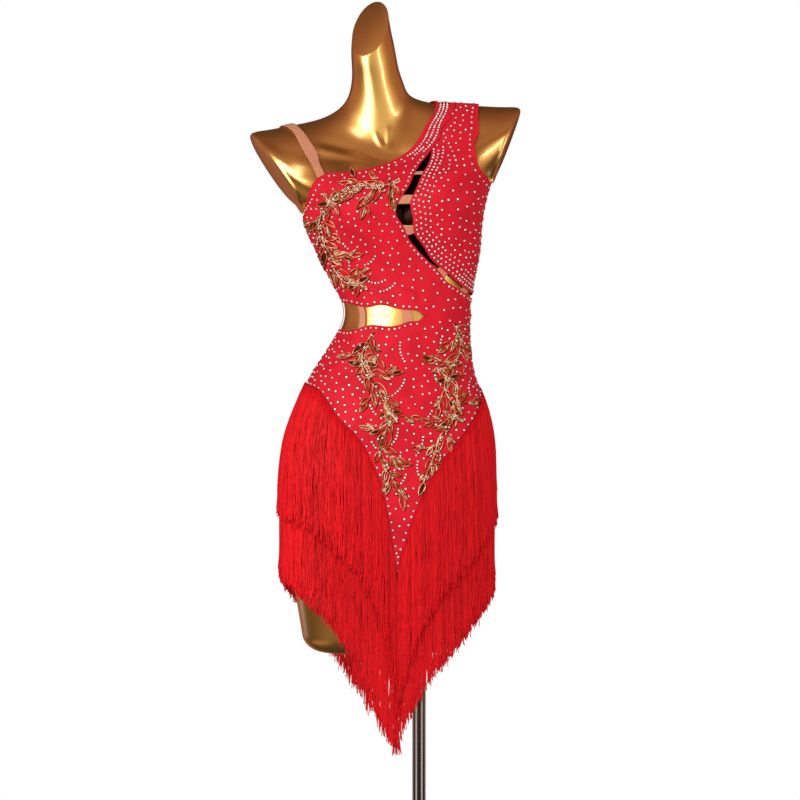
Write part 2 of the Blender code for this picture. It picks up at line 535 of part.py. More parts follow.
def fringe(tier, finish):
    """A narrow band with locks drawn out of its lower side."""
    plan = body(*np.array(smooth(tier.root, 60)).T)[:, :2]
    count = round(np.linalg.norm(np.diff(plan, axis=0), axis=1).sum() / LOCK_PITCH)
    places = smooth(tier.root, count, in_plan=True)
    places[0, 0] += SEAM_GAP / 2
    places[-1, 0] -= SEAM_GAP / 2
    foot = beside(places, FRINGE_BAND)
    foot[0, 0] = max(foot[0, 0], places[0, 0])
    foot[-1, 0] = min(foot[-1, 0], places[-1, 0])
    band = np.stack([places, foot])
    inner = worn(band[..., 0], band[..., 1], FRINGE_BAND_AWAY)
    outer = worn(band[..., 0], band[..., 1], FRINGE_BAND_AWAY + FRINGE_BAND_WALL)
    bm = sheet(inner)
    made = bmesh.ops.extrude_face_region(bm, geom=list(bm.faces), use_keep_orig=True)
    for vert in (g for g in made["geom"] if isinstance(g, bmesh.types.BMVert)):
        nearest = np.linalg.norm(inner * MM - np.array(vert.co), axis=2).argmin()
        vert.co = Vector(outer.reshape(-1, 3)[nearest]) * MM
    bmesh.ops.recalc_face_normals(bm, faces=bm.faces)
    lower_side = np.stack([inner[1], outer[1]]) * MM
    under = [face_between(bm, lower_side[:, i : i + 2].reshape(4, 3)) for i in range(count)]
    bmesh.ops.inset_individual(bm, faces=under, thickness=LOCK_GAP * MM / 2)
    for face, lock in zip(under, lock_rings(tier, foot) * MM):
        start = np.array([v.co for v in face.verts])
        order = corner_order(start, lock[0])
        for ring in lock:
            face = bmesh.ops.extrude_discrete_faces(bm, faces=[face])["faces"][0]
            for vert, corner in zip(face.verts, order):
                vert.co = ring.reshape(4, 3)[corner]
    return add_object(tier.name, bm, finish)


def face_between(bm, corners):
    """The face whose corners are the four points."""
    def off(vert):
        return np.linalg.norm(corners - np.array(vert.co), axis=1).min()

    return min(bm.faces, key=lambda face: max(off(vert) for vert in face.verts))


def corner_order(start, ring):
    """Which of a ring's four corners follows each of a face's corners, by the least total distance."""
    flat = ring.reshape(4, 3)
    orders = [loop[turn:] + loop[:turn] for loop in ([0, 1, 3, 2], [2, 3, 1, 0]) for turn in range(4)]
    return min(orders, key=lambda order: np.linalg.norm(flat[order] - start, axis=1).sum())


# ---------------------------------------------------------------- the dress form and its stand
def dress_form(finish, cutters):
    """The torso: rings up the body, cut flat at the shoulders and parted between the legs."""
    angles = np.linspace(-180, 180, FORM_COLUMNS + 1)
    round_levels = [FORM_FOOT + FORM_FOOT_ROUND * (1 - math.cos(math.radians(t))) for t in (0, 30, 60, 90)]
    trunk = [np.linspace(low, high, round((high - low) / step), endpoint=False) for low, high, step in FORM_STEPS]
    levels = np.array([*round_levels, *np.concatenate(trunk), NECK_TOP])[::-1]
    grid_angle, grid_level = np.meshgrid(angles, levels)
    points = body(grid_angle, grid_level, cloth=False)
    up = np.clip((FORM_FOOT + FORM_FOOT_ROUND - grid_level) / FORM_FOOT_ROUND, 0, 1)
    tuck = FORM_FOOT_ROUND * (1 - np.sqrt(1 - up**2))
    points -= level_way(grid_angle, grid_level) * tuck[..., None]
    spare = SHOULDER_SPARE * np.exp(-(((grid_level - SPARE_LEVEL) / SPARE_TALL) ** 2))
    spare = spare * np.abs(np.sin(np.radians(grid_angle))) ** SPARE_NARROW
    points += outward(grid_angle, grid_level, cloth=False) * spare[..., None]
    bm = sheet(points)
    bmesh.ops.remove_doubles(bm, verts=bm.verts, dist=1e-6)
    bmesh.ops.holes_fill(bm, edges=bm.edges, sides=0)
    bmesh.ops.recalc_face_normals(bm, faces=bm.faces)
    for cut in ARM_CUTS:
        faces = [f for f in bm.faces if min(v.co.z for v in f.verts) > cut.above * MM]
        faces = [f for f in faces if f.calc_center_median().x * cut.side > 0]
        geometry = {g for f in faces for g in (f, *f.edges, *f.verts)}
        made = bmesh.ops.bisect_plane(
            bm, geom=list(geometry), plane_co=Vector(cut.place) * MM, plane_no=Vector(cut.way).normalized(),
            clear_outer=True,
        )
        rim = [g for g in made["geom_cut"] if isinstance(g, bmesh.types.BMEdge)]
        bmesh.ops.contextual_create(bm, geom=rim)
    torso = add_object("dress_form", bm, finish)
    cutter = leg_gap_cutter(finish)
    cutters.objects.link(cutter)
    part_legs = torso.modifiers.new("Legs", "BOOLEAN")
    part_legs.object = cutter
    part_legs.operation = "DIFFERENCE"
    return torso


def leg_gap_cutter(finish):
    """The wedge that parts the legs, rounded at its top."""
    gap = bmesh.new()
    bmesh.ops.create_cube(gap, size=2)
    for vert in gap.verts:
        wide = LEG_GAP_TIP if vert.co.z > 0 else LEG_GAP_WIDTH
        level = LEG_GAP_TOP if vert.co.z > 0 else FORM_FOOT - LEG_GAP_SPARE
        vert.co = Vector((LEG_GAP_X + vert.co.x * wide / 2, vert.co.y * LEG_GAP_REACH, level)) * MM
    top_face = max(gap.faces, key=lambda face: face.calc_center_median().z)
    along = [e for e in top_face.edges if abs(e.verts[0].co.y - e.verts[1].co.y) > LEG_GAP_REACH * MM]
    bmesh.ops.bevel(
        gap, geom=along, offset=LEG_GAP_ROUND * MM, segments=2, profile=0.5, affect="EDGES", material=-1
    )
    turn = Matrix.Rotation(math.radians(RINGS[0].twist), 4, "Z")
    about = Vector((LEG_GAP_X, RINGS[0].mid_y, 0)) * MM
    bmesh.ops.rotate(gap, verts=gap.verts, cent=about, matrix=turn)
    cutter = add_object("leg_gap_cutter", gap, finish)
    cutter.display_type = "WIRE"
    cutter.hide_render = True
    return cutter


def turned(name, profile, finish, steps=36):
    """A piece turned about the pole's axis from its (radius, height) profile, listed from the top down."""
    bm = bmesh.new()
    verts = [bm.verts.new(Vector((radius, 0, height)) * MM) for radius, height in profile]
    for first, second in zip(verts, verts[1:]):
        bm.edges.new((first, second))
    made = add_object(name, bm, finish)
    spin = made.modifiers.new("Turn", "SCREW")
    spin.steps = spin.render_steps = steps
    spin.use_merge_vertices = True
    spin.merge_threshold = 1e-5
    return made


def base_plate(finish):
    corner = [(BASE_RADIUS - BASE_ROUND * (1 - math.sin(math.radians(t))),
               BASE_THICK - BASE_ROUND * (1 - math.cos(math.radians(t)))) for t in (0, 30, 60, 90)]
    hole = POLE_RADIUS + FIT_GAP
    floor, rim = BASE_THICK, BASE_THICK + COLLAR_HEIGHT
    profile = [
        (0, floor), (hole, floor), (hole, rim), (COLLAR_RADIUS - COLLAR_BEVEL, rim),
        (COLLAR_RADIUS, rim - COLLAR_BEVEL), (COLLAR_RADIUS, floor), *corner, (BASE_RADIUS, 0), (0, 0),
    ]
    return turned("base_plate", profile, finish)


def pole(finish):
    foot, head = BASE_THICK + FIT_GAP, FORM_FOOT - FLANGE_THICK - 2 * FIT_GAP
    return turned("pole", [(0, head), (POLE_RADIUS, head), (POLE_RADIUS, foot), (0, foot)], finish, 28)


def pole_flange(finish):
    """The plate under the leg that the torso is screwed to, with the sleeve that takes the pole's end."""
    top = FORM_FOOT - FIT_GAP
    under = top - FLANGE_THICK
    bore = POLE_RADIUS + FIT_GAP
    sleeve = bore + FLANGE_WALL
    profile = [
        (0, top), (FLANGE_RADIUS, top), (FLANGE_RADIUS, under), (sleeve, under), (sleeve, under - FLANGE_SLEEVE),
        (bore, under - FLANGE_SLEEVE), (bore, under), (0, under),
    ]
    return turned("pole_flange", profile, finish, 28)


def main():
    for old in list(bpy.data.objects):
        bpy.data.objects.remove(old)
    parts = bpy.data.collections.new("salsa_dance_dress")
    cutters = bpy.data.collections.new("cutters")
    for group in (parts, cutters):
        bpy.context.scene.collection.children.link(group)

    red = material("red_stretch_jersey", (0.745, 0.010, 0.025), 0.6, sheen=0.4)
    silk = material("red_rayon_fringe", (0.56, 0.006, 0.012), 0.42, sheen=0.3)
    nude = material("nude_elastic", (0.75, 0.35, 0.21), 0.6, sheen=0.2)
    gold = material("gold_lacquer", (0.60, 0.30, 0.06), 0.22, metallic=0.8)
    chrome = material("chrome_plate", (0.80, 0.80, 0.82), 0.12, metallic=1.0)
    steel = material("brushed_steel", (0.62, 0.62, 0.64), 0.35, metallic=1.0)

    pieces = [
        dress_form(gold, cutters), pole(chrome), pole_flange(chrome), base_plate(steel),
        bodice_front(red), bodice_left(red), bodice_back(red), hip_front(red), hip_back(red),
        skirt_panel("skirt_front_right", V_RIGHT, LOW_RIGHT, red),
        skirt_panel("skirt_front_left", V_LEFT, LOW_LEFT, red),
        skirt_panel("skirt_back_left", BACK_V_LEFT, BACK_LOW_LEFT, red),
        skirt_panel("skirt_back_right", BACK_V_RIGHT, BACK_LOW_RIGHT, red),
        shoulder_strap(nude),
        *(elastic_bridge(bridge, nude) for bridge in BRIDGES),
        *(fringe(tier, silk) for tier in TIERS),
    ]
    for piece in pieces:
        parts.objects.link(piece)


main()
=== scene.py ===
"""Looks of a salsa dance dress on a limbless torso form with a pole stand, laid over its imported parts.

Blender 4.5, metres, +Z up. The dress faces -Y and +X is the wearer's left. Every cloth piece lies on one body
surface, which body() gives in millimetres from an angle round the body and a level up it.
"""
import math
from collections import namedtuple

import bmesh
import bpy
import numpy as np
from bpy.props import FloatProperty, FloatVectorProperty, IntProperty, PointerProperty
from bpy.types import Operator, PropertyGroup
from mathutils import Matrix, Vector


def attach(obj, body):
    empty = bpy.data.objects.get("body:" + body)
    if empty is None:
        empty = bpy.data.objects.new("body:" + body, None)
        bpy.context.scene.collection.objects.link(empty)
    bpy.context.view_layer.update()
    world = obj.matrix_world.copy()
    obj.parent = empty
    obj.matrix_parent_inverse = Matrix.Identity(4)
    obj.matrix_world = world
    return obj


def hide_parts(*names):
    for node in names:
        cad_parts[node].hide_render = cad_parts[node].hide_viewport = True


bl_info = {
    "name": "Salsa dance dress",
    "version": (1, 0, 0),
    "blender": (4, 5, 0),
    "location": "3D View > Sidebar > Dress",
    "description": "Builds a fringed dance dress with stones and gold sprays on a torso form",
    "category": "Object",
}

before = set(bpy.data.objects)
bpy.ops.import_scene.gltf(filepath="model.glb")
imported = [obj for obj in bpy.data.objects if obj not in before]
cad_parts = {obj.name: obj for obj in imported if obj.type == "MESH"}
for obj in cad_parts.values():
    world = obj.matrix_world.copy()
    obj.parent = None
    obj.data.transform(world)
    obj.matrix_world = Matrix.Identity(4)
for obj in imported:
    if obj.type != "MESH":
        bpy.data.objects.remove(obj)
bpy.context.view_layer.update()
MM = 0.001

# ---- driving dimensions
# One row for each ring round the body, from the skirt's hem to the cut of the neck, in millimetres and degrees.
# right_x, right_z and left_x, left_z are the ring's side points; front_z and back_z its height at centre front
# and centre back; mid_y the depth of its middle; front and back its reach from there; square is 2 for an
# ellipse and more for a squarer ring; twist turns it towards the wearer's left.
Ring = namedtuple("Ring", "level right_x right_z left_x left_z front_z back_z mid_y front back square twist")
# Level rings give level, right_x, left_x, mid_y, front, back, square and twist.
LEVEL_RINGS = [
    (560, -182, 68, -16, 90, 98, 2.3, 15), (637, -195, 92, -16, 97, 108, 2.3, 15),
    (701, -205, 104, -16, 102, 118, 2.3, 15), (765, -211, 110, -16, 106, 126, 2.3, 15),
    (813, -213, 112, -16, 108, 128, 2.3, 15), (861, -210, 111, -16, 107, 124, 2.3, 15),
    (909, -202, 109, -17, 105, 114, 2.25, 14), (957, -188, 101, -18, 100, 101, 2.2, 12),
    (986, -176, 91, -19, 95, 93, 2.15, 11), (1021, -154, 82, -20, 88, 84, 2.1, 9),
    (1053, -134, 79, -20, 83, 77, 2.1, 8), (1082, -120, 79, -19, 80, 74, 2.1, 7),
    (1117, -122, 81, -17, 80, 75, 2.1, 5), (1149, -139, 86, -13, 82, 80, 2.15, 4),
    (1197, -163, 95, -8, 87, 88, 2.2, 2),
]
RINGS = [Ring(z, right, z, left, z, z, z, *rest) for z, right, left, *rest in LEVEL_RINGS] + [Ring(*row) for row in (
    (1245, -182, 1245, 100, 1252, 1245, 1248, -4, 91, 94, 2.3, 0),
    (1285, -187, 1266, 114, 1306, 1284, 1293, -1, 90, 95, 2.4, 0),
    (1318, -221, 1290, 129, 1333, 1300, 1316, 1, 85, 92, 2.6, 0),
    (1350, -248, 1325, 145, 1364, 1313, 1336, 3, 78, 87, 2.9, 0),
    (1384, -262, 1366, 157, 1405, 1325, 1357, 4, 70, 79, 3.0, 0),
    (1410, -250, 1382, 150, 1420, 1336, 1375, 4, 62, 70, 2.8, 0),
    (1440, -213, 1393, 117, 1425, 1346, 1393, 3, 57, 63, 2.5, 0),
    (1474, -170, 1401, 65, 1427, 1354, 1408, 2, 53, 57, 2.3, 0),
    (1506, -136, 1415, 18, 1430, 1365, 1422, 1, 48, 51, 2.1, 0),
    (1532, -117, 1434, -13, 1441, 1385, 1439, -1, 43, 44, 2.0, 0),
    (1556, -109, 1457, -24, 1460, 1412, 1459, -4, 39, 39, 2.0, 0),
    (1584, -107, 1483, -33, 1487, 1445, 1490, -8, 37, 37, 2.0, 0),
    (1610, -108, 1504, -39, 1518, 1472, 1526, -12, 36, 36, 2.0, 0),
    (1630, -108, 1518, -44.5, 1542, 1488, 1560, -15, 35, 35, 2.0, 0),
    (1648, -107, 1531.5, -48.5, 1564.5, 1502, 1594, -17, 34, 33, 2.0, 0),
)]
NECK_TOP = 1648

# The bust: how far it stands out of the chest, where its points are, and how it falls away sideways, up and down.
BUST_CENTRE_X, BUST_HALF_APART, BUST_Z = -30, 86, 1262
FORM_SPREAD = dict(reach=45, out=40, up=42, down=33)
CLOTH_SPREAD = dict(reach=46, out=52, up=44, down=46)
BRIDGE_DIP = 0.27

COLUMNS = {name: np.array([getattr(ring, name) for ring in RINGS], float) for name in Ring._fields}


def unit(vectors):
    """Vectors made one long."""
    return vectors / np.maximum(np.linalg.norm(vectors, axis=-1, keepdims=True), 1e-9)


def running(points):
    """The running length along a row of points."""
    return np.concatenate([[0], np.cumsum(np.linalg.norm(np.diff(points, axis=0), axis=1))])


def natural_spline(knots, values):
    """The second derivatives of the smooth curve through the values, bent the least."""
    n = len(knots)
    gap = np.diff(knots)
    matrix, right = np.eye(n), np.zeros(n)
    for i in range(1, n - 1):
        matrix[i, i - 1 : i + 2] = gap[i - 1], 2 * (gap[i - 1] + gap[i]), gap[i]
        right[i] = 6 * ((values[i + 1] - values[i]) / gap[i] - (values[i] - values[i - 1]) / gap[i - 1])
    return np.linalg.solve(matrix, right)


def along_spline(knots, values, bends, at):
    """The curve's values at places along its knots, from the second derivatives there."""
    at = np.clip(at, knots[0], knots[-1])
    i = np.clip(np.searchsorted(knots, at, side="right") - 1, 0, len(knots) - 2)
    gap = knots[i + 1] - knots[i]
    before, after = knots[i + 1] - at, at - knots[i]
    return (
        (bends[i] * before**3 + bends[i + 1] * after**3) / (6 * gap)
        + (values[i] / gap - bends[i] * gap / 6) * before
        + (values[i + 1] / gap - bends[i + 1] * gap / 6) * after
    )


BENDS = {name: natural_spline(COLUMNS["level"], COLUMNS[name]) for name in Ring._fields[1:]}


def ring_at(level):
    """The form's section at a level, or at each of several."""
    return Ring(level, *(along_spline(COLUMNS["level"], COLUMNS[n], BENDS[n], level) for n in Ring._fields[1:]))


def bust(x, z, spread, bridged):
    """How far the bust stands out at a place on the chest. Cloth bridges straight from point to point."""
    off = np.abs(x - BUST_CENTRE_X)
    up = np.where(z > BUST_Z, spread["up"], spread["down"])
    tall = np.exp(-(((z - BUST_Z) / up) ** 2) / 2)
    across = np.exp(-(((off - BUST_HALF_APART) / spread["out"]) ** 2) / 2)
    if bridged:
        inner = 1 - BRIDGE_DIP * (1 - np.minimum(off / BUST_HALF_APART, 1) ** 2) ** 2
        across = np.where(off < BUST_HALF_APART, inner, across)
    return spread["reach"] * tall * across


def body(angle, level, cloth=True):
    """Points on the body, in millimetres, at angles in degrees (0 front, 90 the wearer's left) and levels."""
    angle, level = np.broadcast_arrays(np.radians(np.asarray(angle, float)), np.asarray(level, float))
    ring = ring_at(level)
    sin, cos = np.sin(angle), np.cos(angle)
    swell = (np.abs(sin) ** ring.square + np.abs(cos) ** ring.square) ** (-1 / ring.square)
    across = (ring.left_x - ring.right_x) / 2 * sin * swell
    reach = (ring.front + ring.back) / 2 + (ring.front - ring.back) / 2 * cos
    deep = -reach * cos * swell
    z = (
        (ring.left_z + ring.right_z) / 2
        + (ring.left_z - ring.right_z) / 2 * sin
        + (ring.front_z - ring.back_z) / 2 * cos
        + ((ring.front_z + ring.back_z) / 2 - (ring.left_z + ring.right_z) / 2) * cos**2
    )
    turn = np.radians(ring.twist)
    x = (ring.left_x + ring.right_x) / 2 + across * np.cos(turn) - deep * np.sin(turn)
    y = ring.mid_y + across * np.sin(turn) + deep * np.cos(turn)
    facing = np.clip(cos * 2.5, 0, 1)
    y = y - bust(x, z, CLOTH_SPREAD if cloth else FORM_SPREAD, cloth) * facing**2 * (3 - 2 * facing)
    return np.stack([x, y, z], axis=-1)


def outward(angle, level, cloth=True):
    """Unit normals of the body."""
    step_a, step_l = 0.5, 1.5
    round_it = body(angle + step_a, level, cloth) - body(angle - step_a, level, cloth)
    up_it = body(angle, level + step_l, cloth) - body(angle, level - step_l, cloth)
    return unit(np.cross(round_it, up_it))


def split(places):
    """The angles and the levels of places."""
    return places[..., 0], places[..., 1]


def body_steps(angle, level):
    """How far the body runs for a degree round it and for a millimetre of level up it."""
    round_it = body(angle + 0.5, level) - body(angle - 0.5, level)
    return round_it, body(angle, level + 0.5) - body(angle, level - 0.5)


def worn(angle, level, away):
    """Points of cloth that lies away from the body by so many millimetres."""
    angle, level = np.broadcast_arrays(np.asarray(angle, float), np.asarray(level, float))
    return body(angle, level) + outward(angle, level) * np.asarray(away, float)[..., None]


# ---- the pattern
# Edges of the cloth pieces, each a row of (angle, level) places that a smooth curve goes through.
# A side seam's angle, met from the front and, on the wearer's right, from the back; the shoulder's line; and the
# levels where the front and back meet at the left seam beside the waist's cut-out.
RIGHT_SEAM, RIGHT_SEAM_BACK, LEFT_SEAM = -110, 250, 100
SHOULDER = 90
WAIST = 1098
NECKLINE = [
    (90, 1500), (57, 1497), (36, 1487), (15, 1450), (7, 1412), (1, 1386), (-4, 1372), (-12, 1356), (-27, 1347)
]
UNDERARM = [(-27, 1347), (-32, 1336), (-39, 1319), (-53, 1297), (-73, 1274), (-90, 1256), (-110, 1248)]
SHOULDER_SEAM = [(90, 1479), (53, 1474), (39, 1465), (25, 1434), (19, 1409)]
SLIT_NEAR = [
    (19, 1409), (15.2, 1364), (13.2, 1331), (9, 1293), (5, 1272), (2, 1256), (2, 1243), (6, 1226), (7, 1213),
    (12, 1190), (20, 1171), (26, 1159), (34, 1142), (47, 1131), (60, 1123), (100, 1119),
]
SLIT_FAR = [
    (19, 1409), (18.6, 1364), (17.4, 1328), (14, 1296), (11, 1270), (10, 1257), (12, 1243), (12, 1217), (16, 1197),
    (21, 1176), (27, 1165), (38, 1150), (50, 1137), (66, 1128), (90, 1125),
]
ARMHOLE = [
    (90, 1455), (70, 1452), (51, 1436), (40, 1410), (37, 1377), (41, 1344), (50, 1309), (63, 1288), (80, 1282),
    (100, 1280),
]
BACK_ARMHOLE = [(90, 1455), (112, 1450), (133, 1432), (141, 1400), (141, 1362), (134, 1322), (119, 1292), (100, 1280)]
BACK_EDGE = [
    (90, 1500), (128, 1497), (148, 1481), (161, 1450), (174, 1408), (190, 1358), (209, 1308), (229, 1270),
    (250, 1250),
]
CUT_TOP = [
    (-110, 1118), (-82, 1112), (-58, 1107), (-42, 1102), (-30, 1105), (-18, 1101), (-5, 1097), (5, 1095),
    (10, 1088.4),
]
CUT_FOOT = [
    (-110, 1068), (-78, 1067), (-52, 1066), (-38, 1073), (-20, 1071), (-10, 1074), (-2, 1079), (6, 1081),
    (10, 1087.6),
]
BACK_CUT_TOP = [(212, 1092.4), (216, 1103), (230, 1112), (250, 1118)]
BACK_CUT_FOOT = [(212, 1091.6), (216, 1081), (230, 1072), (250, 1068)]
V_RIGHT = [
    (-110, 984), (-85, 978), (-60, 968), (-42, 931), (-27, 894), (-20, 863), (-14, 824), (-10, 772), (-7, 722),
    (-4, 663),
]
V_LEFT = [
    (-4, 663), (-4, 686), (0, 730), (5, 773), (11, 814), (21, 859), (34, 896), (47, 926), (70, 964), (100, 985)
]
BACK_V_LEFT = [(100, 985), (122, 962), (145, 915), (163, 850), (180, 770)]
BACK_V_RIGHT = [(180, 770), (197, 850), (214, 915), (233, 962), (250, 984)]
LOW_RIGHT = [
    (-110, 888), (-90, 886), (-73, 882), (-59, 862), (-44, 833), (-32, 788), (-25, 745), (-19, 699), (-12, 652),
    (-5, 622),
]
LOW_LEFT = [(-4, 622), (0, 660), (5, 690), (13, 733), (25, 771), (38, 811), (54, 848), (75, 875), (100, 888)]
BACK_LOW_LEFT = [(100, 890), (125, 858), (148, 800), (165, 735), (179.5, 660)]
BACK_LOW_RIGHT = [(180.5, 660), (196, 735), (212, 800), (230, 858), (250, 888)]

# How far each layer of cloth lies from the body, its wall, and the gap kept at a seam, in millimetres.
PANEL_AWAY, PANEL_WALL = 1.7, 1.2
SKIRT_AWAY, SKIRT_WALL = 4.2, 1.2
ELASTIC_AWAY, ELASTIC_WALL = 1.2, 1.0
SEAM_GAP = 0.4
# Where cloth stands off a hollow: the middle of the place, how wide and tall it is, and how far the cloth lifts.
Swelling = namedtuple("Swelling", "angle wide level tall lift")
SHOULDER_BLADE = Swelling(125, 28, 1350, 55, 1.5)
UNDER_THE_ARM = Swelling(-98, 16, 1246, 22, 1.6)
NECK_HOLLOW, NECK_HOLLOW_FROM, NECK_HOLLOW_TO = 0.9, 1400, 1460

# The elastic strap over the right shoulder: its middle from end to end, and its width.
STRAP_WIDTH = 15
STRAP_PATH = [
    (-30, 1335), (-28.7, 1363), (-29.9, 1391), (-35.2, 1416), (-43.5, 1433), (-55, 1445.6), (-68, 1450.5), (-92, 1444),
    (-120, 1426), (-135, 1390), (-137, 1345), (-129, 1300), (-119, 1250),
]
# How far the strap lifts off: along it from 0 to 1, and the lift. Its end lies on the back's edge.
STRAP_LIFT = [
    (0, 0), (0.25, 0.3), (0.35, 1.6), (0.48, 1.6), (0.6, 0.5), (0.7, 0.5), (0.8, 4), (0.88, 6), (0.95, 3.2), (1, 2.8)
]
# Elastic bridges across the two cut-outs, each from one edge's pair of places to the other edge's pair.
Bridge = namedtuple("Bridge", "name near_a near_b far_b far_a")
BRIDGES = [
    Bridge("slit_bridge_1", (14.4, 1330), (13.6, 1319), (16.2, 1315), (17, 1326)),
    Bridge("slit_bridge_2", (4.7, 1270), (2.5, 1257.5), (9.6, 1257), (10.6, 1269)),
    Bridge("slit_bridge_3", (6, 1228), (6.9, 1213), (11.7, 1216), (11.7, 1228)),
    Bridge("slit_bridge_4", (24.8, 1161), (31, 1147), (34.2, 1154), (27.3, 1164.2)),
    Bridge("slit_bridge_5", (48, 1130.4), (58, 1124.3), (64, 1129), (54, 1134.6)),
    Bridge("waist_bridge_1", (-99.5, 1067.6), (-93.5, 1067.4), (-93.5, 1114.6), (-99.5, 1115.8)),
    Bridge("waist_bridge_2", (-49, 1066.9), (-42.6, 1069.9), (-46, 1103.2), (-53.6, 1105.7)),
    Bridge("waist_bridge_3", (-8.5, 1075.2), (0.6, 1079.7), (-0.8, 1094.4), (-10, 1096.8)),
]

# How a tier of fringe hangs, in millimetres: its strand length, how much longer its threads are in front and
# behind, how far they lie from the body at the top and lower down, how far down they come to lie so, how much
# the shorter ones fall short, and the rows of its header above its line.
Hang = namedtuple("Hang", "length extra top_away low_away settle short header")
UPPER = Hang(196, 14.0, 4.1, 9.5, 98.0, 4.5, (3.2, 2.7, 1.8, 0.8, 0.0))
LOWER = Hang(218, 0.0, 6.0, 6.8, 30.0, 3.0, (2.4, 1.4, 0.4, -0.6, -1.6))
Tier = namedtuple("Tier", "name root hang side_shorter")
TIERS = [Tier(f"fringe_{name}", *rest) for name, *rest in (
    ("upper_front_right", V_RIGHT, UPPER, 4), ("upper_front_left", V_LEFT, UPPER, 4),
    ("upper_back_left", BACK_V_LEFT, UPPER, 4), ("upper_back_right", BACK_V_RIGHT, UPPER, 4),
    ("lower_front_right", LOW_RIGHT, LOWER, 14), ("lower_front_left", LOW_LEFT, LOWER, 4),
    ("lower_back_left", BACK_LOW_LEFT, LOWER, 4), ("lower_back_right", BACK_LOW_RIGHT, LOWER, 4),
)]

# The dress form's cut shoulders: the side and the lowest height each lies in, a point on it, and its way.
ArmCut = namedtuple("ArmCut", "side above place way")
ARM_CUTS = [
    ArmCut(-1, 1255, (-261, 0, 1364), (-0.825, -0.15, -0.545)),
    ArmCut(1, 1300, (157, 0, 1404), (0.936, -0.06, -0.353)),
]
# Spare stock that the shoulder cuts take off: how thick, its middle level, its height, and how narrow it is.
SHOULDER_SPARE, SPARE_LEVEL, SPARE_TALL, SPARE_NARROW = 22, 1370, 36, 12
FORM_FOOT, FORM_FOOT_ROUND = 560, 24
# The gap between the legs: where it is, how wide at its foot and top, its rounding, and the spare of its cutter.
LEG_GAP_X, LEG_GAP_TOP, LEG_GAP_WIDTH, LEG_GAP_TIP = -50, 690, 26, 8
LEG_GAP_ROUND, LEG_GAP_REACH, LEG_GAP_SPARE = 3, 200, 20
# The rounding of a shoulder cut's rim, and how far the face inside it is crowned.
CUT_ROUND, CUT_CROWN = 6, 1.2
# The rings that close it: turns round the rounding in degrees, then shares of the way out from its middle.
CUT_TURNS, CUT_SHARES = range(15, 91, 15), (0.55, 0.3, 0.1)
# The rim of the neck's flat top, and a level below it.
NECK_RIM, NECK_RIM_DROP, NECK_ABOVE = 1.0, 0.4, 1450
# The shadow painted on the form in the slit: its lowest level, how far it deepens upwards, its top, its reach and its
# soft edge.
SHADOW_LOW, SHADOW_DEEPEN, SHADOW_TOP, SHADOW_REACH, SHADOW_SOFT = 1150, 22, 1400, 13.0, 5.0

# The stand.
POLE_RADIUS = 11
BASE_RADIUS, BASE_THICK, BASE_ROUND = 165, 8, 3
COLLAR_RADIUS, COLLAR_HEIGHT, COLLAR_BEVEL = 19, 34, 1
FLANGE_RADIUS, FLANGE_THICK, FLANGE_SLEEVE, FLANGE_WALL = 32, 4, 30, 4
FIT_GAP = 0.3


# ---- curves and grids on the body
def lengths(places):
    """The running length, in millimetres, of a row of places on the body."""
    return running(body(*places.T))


def through(points, knots, fineness):
    """Points close together on the smooth curve through the given ones."""
    fine = np.linspace(0, knots[-1], fineness * len(points))
    return np.stack([along_spline(knots, values, natural_spline(knots, values), fine) for values in points.T], axis=1)


def at_lengths(run, line, stops):
    """The places where the running length along a line is that of the stops."""
    return np.stack([np.interp(stops, run, values) for values in line.T], axis=1)


def smooth(places, steps, in_plan=False):
    """Places on the smooth curve through the given ones, that many even steps along it, or in plan."""
    places = np.array(places, float)
    dense = through(places, lengths(places), 30)
    run = running(body(*dense.T)[:, :2]) if in_plan else lengths(dense)
    return at_lengths(run, dense, np.linspace(0, run[-1], steps + 1))


def edge(*stretches):
    """One edge of a piece. Each stretch is (places, steps) and smooth in itself, with a corner at its end."""
    rows = [smooth(places, steps) for places, steps in stretches]
    return np.concatenate([rows[0], *(row[1:] for row in rows[1:])])


def shifted(places, angle=0.0, level=0.0):
    return [(a + angle, l + level) for a, l in places]


def beside(places, distance):
    """The row of places moved sideways over the body, to the right of its direction, by so many millimetres."""
    angle, level = places.T
    a_degree, a_level = (np.linalg.norm(step, axis=1) for step in body_steps(angle, level))
    along = unit(np.stack([np.gradient(angle) * a_degree, np.gradient(level) * a_level], axis=1))
    return np.stack([angle + along[:, 1] * distance / a_degree, level - along[:, 0] * distance / a_level], axis=1)


def filled(first, second, top, foot):
    """A grid of places inside four edges: first and second run down, top and foot run from first to second."""
    down = np.linspace(0, 1, len(first))[:, None, None]
    over = np.linspace(0, 1, len(top))[None, :, None]
    sides = (1 - over) * first[:, None] + over * second[:, None]
    ends = (1 - down) * top[None] + down * foot[None]
    corners = (1 - down) * ((1 - over) * top[0] + over * top[-1]) + down * ((1 - over) * foot[0] + over * foot[-1])
    return sides + ends - corners


